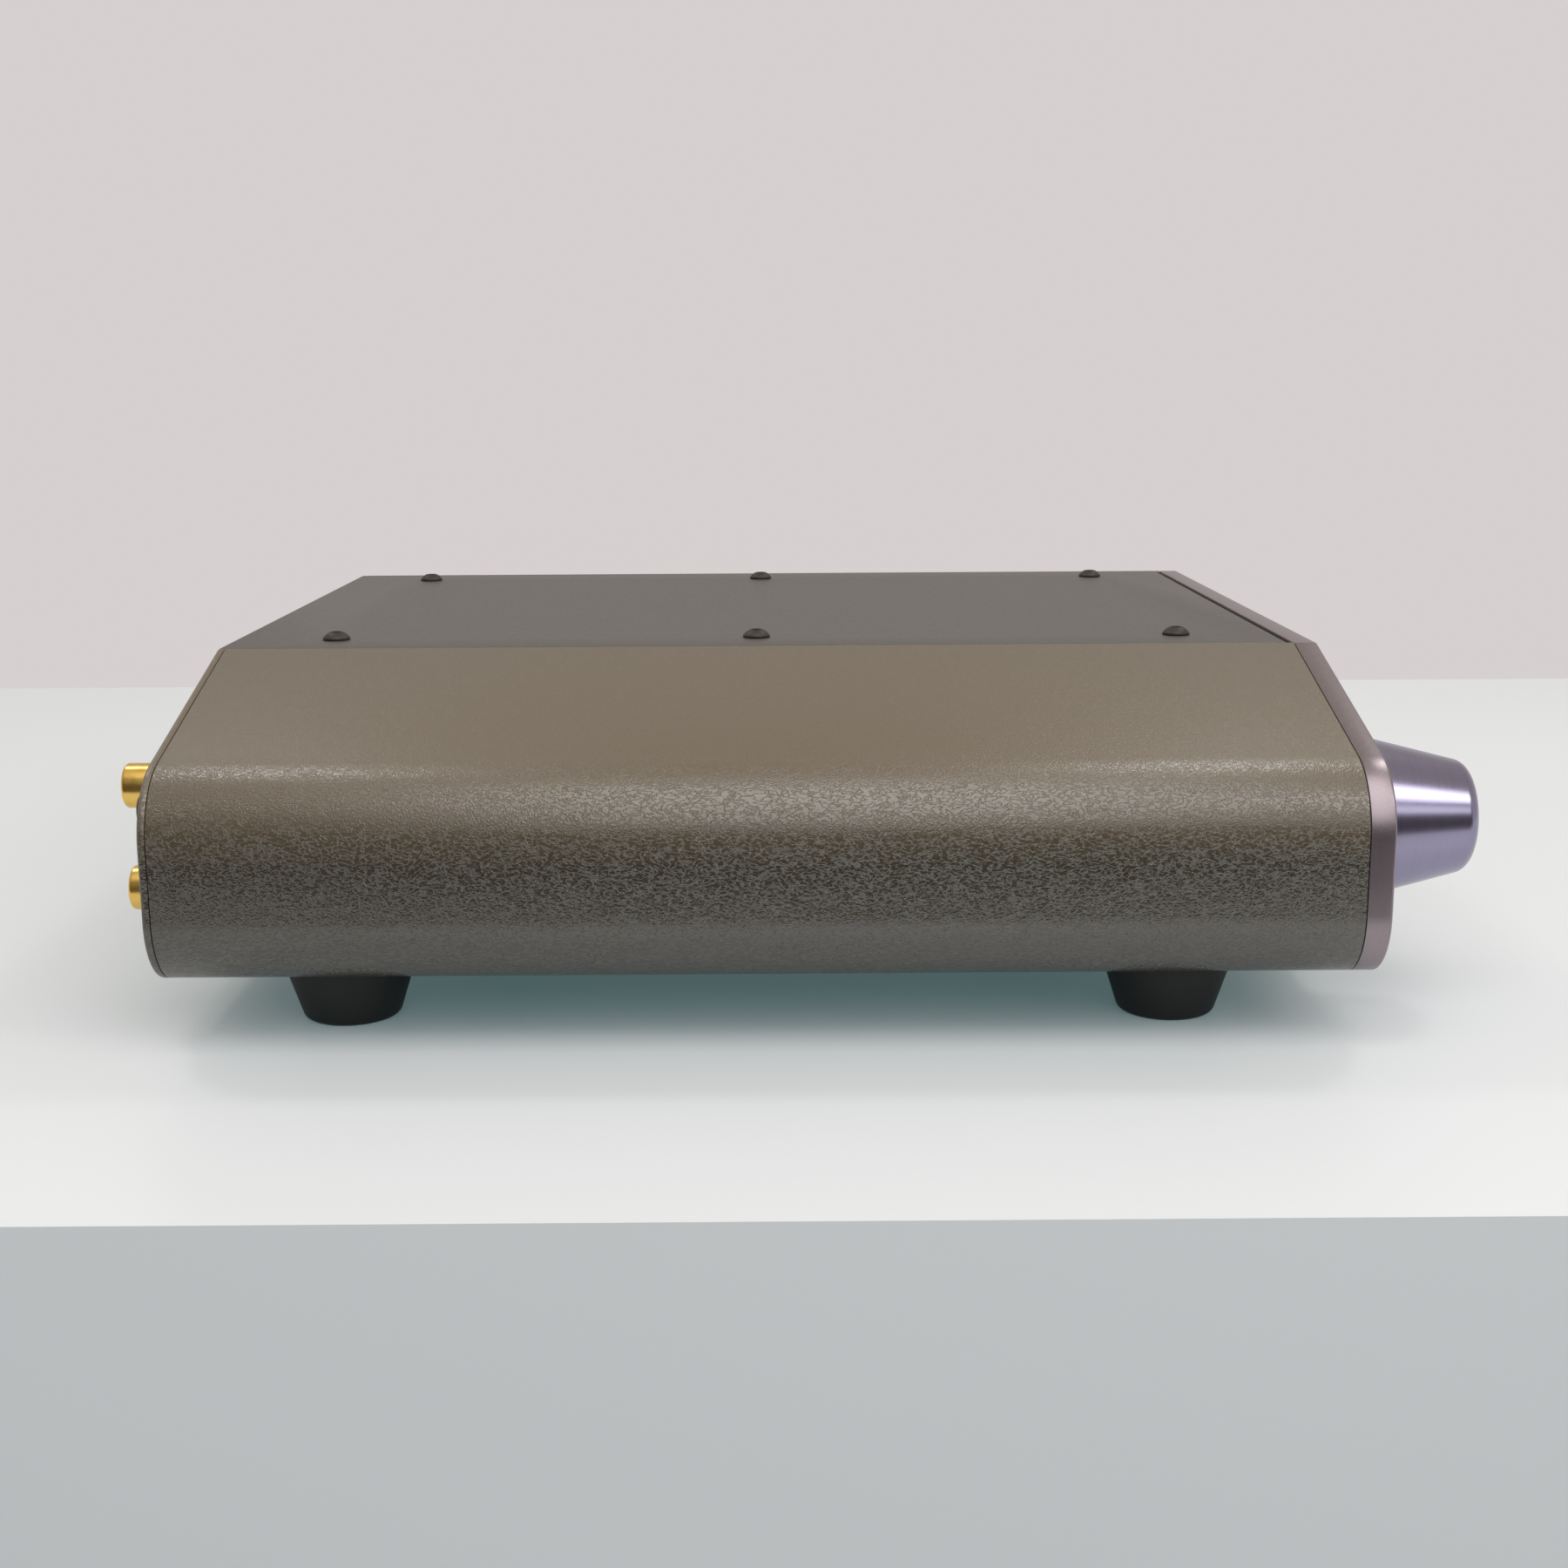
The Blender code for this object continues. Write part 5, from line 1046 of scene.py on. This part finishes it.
def flanged_body(low, high, corner, corner_steps, half, depth):
    """A rounded flange on the rear panel, joined to the box that goes through it."""
    shape = bmesh.new()
    add_box(shape, (low.x, flange_y, low.z), high)
    round_edges(shape, edges_along_y(shape), corner, corner_steps)
    round_edges(shape, edges_at(shape, high.y), FLANGE_EDGE)
    body = bmesh.new()
    add_bar(body, (low + high) / 2, flange_y - depth, flange_y + MM, half)
    return carve(shape, body, "UNION")


inlet_low, inlet_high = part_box("mains_inlet")
inlet = (inlet_low + inlet_high) / 2
shape = flanged_body(inlet_low, inlet_high, INLET_CORNER, 6, INLET_BODY, INLET_BODY_DEPTH)
mouth = slanted_mouth(inlet, INLET_MOUTH, INLET_SLANT, inlet_high.y, INLET_DEPTH)
round_edges(mouth, edges_along_y(mouth), MOUTH_CORNER)
finish("mains_inlet_moulded", carve(shape, mouth), plastic, ["mains_inlet"])

# %% Blades of the inlet
BLADES = ((-7, -2), (0, 2), (7, -2))  # mm from the middle
BLADE_HALF = Vector((1, 0, 2)) * MM
BLADE_SUNK = 3.5 * MM  # below the rim of the mouth
BLADE_EDGE = 0.45 * MM

blade_end = inlet_high.y - BLADE_SUNK
shape = bmesh.new()
for x, z in BLADES:
    centre = Vector((inlet.x + x * MM, 0, inlet.z + z * MM))
    add_bar(shape, centre, inlet_low.y, blade_end, BLADE_HALF)
round_edges(shape, edges_at(shape, blade_end), BLADE_EDGE)
finish("mains_inlet_blades", shape, finishes["nickel plated brass"], [])

# %% Switch frame
FRAME_CORNER = 1.2 * MM
FRAME_BODY = Vector((6.5, 0, 9.5)) * MM
FRAME_BODY_DEPTH = 13 * MM
WELL = Vector((5, 0, 8.2)) * MM
WELL_DEPTH = 9.5 * MM
TAB_HALF = Vector((2.4, 0, 0.4)) * MM
TAB_PLACE = 3.5 * MM  # above and below the middle
TAB_ROOT = 0.5 * MM  # inside the body

frame_low, frame_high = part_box("rocker_frame")
switch = (frame_low + frame_high) / 2
shape = flanged_body(frame_low, frame_high, FRAME_CORNER, 5, FRAME_BODY, FRAME_BODY_DEPTH)
well = bmesh.new()
add_bar(well, switch, frame_high.y - WELL_DEPTH, frame_high.y + MM, WELL)
shape = carve(shape, well)
tabs = bmesh.new()
tab_end = flange_y - FRAME_BODY_DEPTH + TAB_ROOT
for z in (switch.z - TAB_PLACE, switch.z + TAB_PLACE):
    add_bar(tabs, Vector((switch.x, 0, z)), frame_low.y, tab_end, TAB_HALF)
shape = carve(shape, tabs, "UNION")
finish("switch_frame_moulded", shape, plastic, ["rocker_frame"])

# %% Rocker
TILT = math.radians(9)
ROCKER_RADIUS = 7.8 * MM
ROCKER_CREST = 3.4 * MM
ROCKER_BASE = 2.7 * MM
ROCKER_HALF = 4.6 * MM  # of its width
ROCKER_EDGE = 0.35 * MM
PIVOT_RADIUS = 1.2 * MM
PIVOT_HALF = 5.65 * MM  # of its length

# The section is drawn with up along X and outwards along Z, then stood up, leaned and moved to its pivot.
pivot = Vector(next(joint["pos_m"] for joint in frame["joints"] if joint["name"] == "power_tip"))
stand = Matrix(((0, 1, 0, 0), (0, 0, 1, 0), (1, 0, 0, 0), (0, 0, 0, 1)))
onto_pivot = Matrix.Translation(pivot) @ Matrix.Rotation(-TILT, 4, "X") @ stand
reach = TILT + math.asin(ROCKER_CREST * math.cos(TILT) / ROCKER_RADIUS)
base = math.asin(ROCKER_BASE / ROCKER_RADIUS)
shape = bmesh.new()
first = pen(shape, 0, ROCKER_CREST)
tip = lines_to(shape, first, (ROCKER_RADIUS * math.cos(reach), ROCKER_RADIUS * math.sin(reach)))
tip = arc_to(shape, tip, (0, 0), math.degrees(reach + base), 10)
tip = lines_to(shape, tip, (-ROCKER_RADIUS * math.cos(base), -ROCKER_RADIUS * math.sin(base)))
tip = arc_to(shape, tip, (0, 0), math.degrees(reach + base), 10)
shape.edges.new((tip, first))
push(shape, -ROCKER_HALF, ROCKER_HALF)
sides = edges_at(shape, -ROCKER_HALF) + edges_at(shape, ROCKER_HALF)
round_edges(shape, sides, ROCKER_EDGE)
pins = bmesh.new()
add_rod(pins, (0, -PIVOT_HALF, 0), (0, PIVOT_HALF, 0), PIVOT_RADIUS, 24)
shape = carve(shape, pins, "UNION")
bmesh.ops.transform(shape, verts=shape.verts, matrix=onto_pivot)
finish("rocker_moulded", shape, plastic, ["power_rocker"], "power_rocker")

# %% Stroke and ring on the rocker
MARK_RISE = 0.06 * MM
MARK_PLACE = 4.6 * MM  # from the crest along a face
STROKE_HALF = Vector((1.3 * MM, 0.25 * MM, MARK_RISE))
RING_INSIDE = 1 * MM
RING_OUTSIDE = 1.45 * MM

crest = Matrix.Translation((0, 0, ROCKER_CREST))
upper_mark = crest @ Matrix.Rotation(-TILT, 4, "Y") @ Matrix.Translation((MARK_PLACE, 0, 0))
lower_mark = crest @ Matrix.Rotation(TILT, 4, "Y") @ Matrix.Translation((-MARK_PLACE, 0, 0))
shape = bmesh.new()
first = pen(shape, RING_INSIDE, -MARK_RISE)
tip = lines_to(
    shape, first, (RING_INSIDE, MARK_RISE), (RING_OUTSIDE, MARK_RISE), (RING_OUTSIDE, -MARK_RISE),
)
shape.edges.new((tip, first))
turn(shape, 40)
bmesh.ops.transform(shape, verts=shape.verts, matrix=lower_mark)
stroke = add_box(shape, -STROKE_HALF, STROKE_HALF)
bmesh.ops.transform(shape, verts=stroke, matrix=upper_mark)
bmesh.ops.transform(shape, verts=shape.verts, matrix=onto_pivot)
finish("rocker_marks", shape, finishes["white pad print"], [], "power_rocker")

# %% [markdown]
# ## The solids inside
#
# Boards, transformer and the rest stay as they were packed, because the closed case hides them. Each still
# gets a finish, for an opened or cut-away view.

# %% Finishes of the inner solids
INNER_FINISHES = {
    "moulded black plastic": [
        "volume_pot", "edge_connector", "input_switch", "line_out_housing", "coax_in_housing",
    ],
    "zinc plated steel": ["pot_nut", "volume_shaft", "transformer_clamp"],
    "blackened steel": ["knob_grub_screw"],
    "green board lacquer": ["main_board", "front_board"],
    "natural nylon": [f"board_post_{number}" for number in range(1, 5)],
    "tinned sheet steel": ["screening_can"],
    "dark blue sleeve film": ["reservoir_capacitor_1", "reservoir_capacitor_2"],
    "yellow winding tape": ["transformer"],
}
for name, inner in INNER_FINISHES.items():
    for solid in inner:
        mesh = frame["nodes"][solid].data
        mesh.materials.clear()
        mesh.materials.append(finishes[name])
print(sum(map(len, INNER_FINISHES.values())), "inner solids finished")

# %% [markdown]
# ## Floor, light and backdrop
#
# The case stands on a pale glass plinth in a pale room. Its top ends a short way before and behind the case,
# because metal shows what lies round it: an endless white floor would wipe out the dark bands on the knob and
# the panel's edge. A dark cloth beyond the camera does the same for the upright side. Two small keys behind
# the case throw its shadow forwards, one large soft box above the camera draws the grey band along the upper
# bend, and two small lamps in front put their lines on the knob. The plinth also glows a faint blue-green,
# painted light that lifts the shadows on it.

# %% Floor and dark cloth
PLINTH = ((-0.208, -3, -1), (0.309, 3, 0))  # corners in metres
CLOTH = ((-2.02, -4, -2), (-2, 4, 2.4))
# painted light: a faint blue-green glow of the plinth, which lifts the shadows on and near it
PAINTED_GLOW = {"Emission_Color": srgb("3f5759"), "Emission_Strength": 1.0}


def stage_piece(name, corners, **values):
    """A plain box of the stage, which isn't part of the object."""
    shape = bmesh.new()
    add_box(shape, *corners)
    made = to_object(name, shape)
    made.data.materials.append(new_finish(name, **values)[0])
    print(name)
    return made


stage_piece("pale glass plinth", PLINTH, Base_Color=srgb("dfdcde"), Roughness=0.4, **PAINTED_GLOW)
stage_piece("dark cloth", CLOTH, Base_Color=srgb("6a6666"), Roughness=0.9).visible_camera = False

# %% Lamps and room
LIT_POINT = Vector((-0.12, -0.05, 0.04))  # on the upper bend, where all the lamps look
LAMPS = {  # name: place and size in metres, power in watts
    "front key": ((0.3, -0.47, 0.9), (0.14, 0.14), 1.05),
    "rear key": ((0.36, 0.6, 1.0), (0.14, 0.14), 1.2),
    "soft box": ((-0.78, -0.12, 0.88), (1.15, 1.4), 10.0),
    "upper knob light": ((-0.62, -0.95, 0.74), (0.35, 0.35), 2.0),
    "lower knob light": ((-0.87, -0.97, 0.38), (0.35, 0.2), 0.5),
}
for name, (place, size, power) in LAMPS.items():
    data = bpy.data.lights.new(name, "AREA")
    data.shape = "RECTANGLE"
    data.size, data.size_y = size
    data.energy = power
    lamp = bpy.data.objects.new(name, data)
    bpy.context.scene.collection.objects.link(lamp)
    lamp.location = place
    lamp.rotation_euler = (LIT_POINT - lamp.location).to_track_quat("-Z", "Y").to_euler()
    lamp.visible_camera = False

world = bpy.data.worlds.new("pale room")
bpy.context.scene.world = world
world.use_nodes = True
tree = world.node_tree
toward = tree.nodes.new("ShaderNodeTexCoord").outputs["Generated"]
apart = node(tree, "ShaderNodeSeparateXYZ", {0: toward})
higher = remap(tree, apart.outputs["Z"], 0.0, 1.0, 0.2, 0.5)
tree.links.new(mix(tree, higher, "d6d0d0", "c0b9b0"), tree.nodes["Background"].inputs["Color"])
bpy.context.scene.view_settings.view_transform = "Standard"
print("lamps:", list(LAMPS))
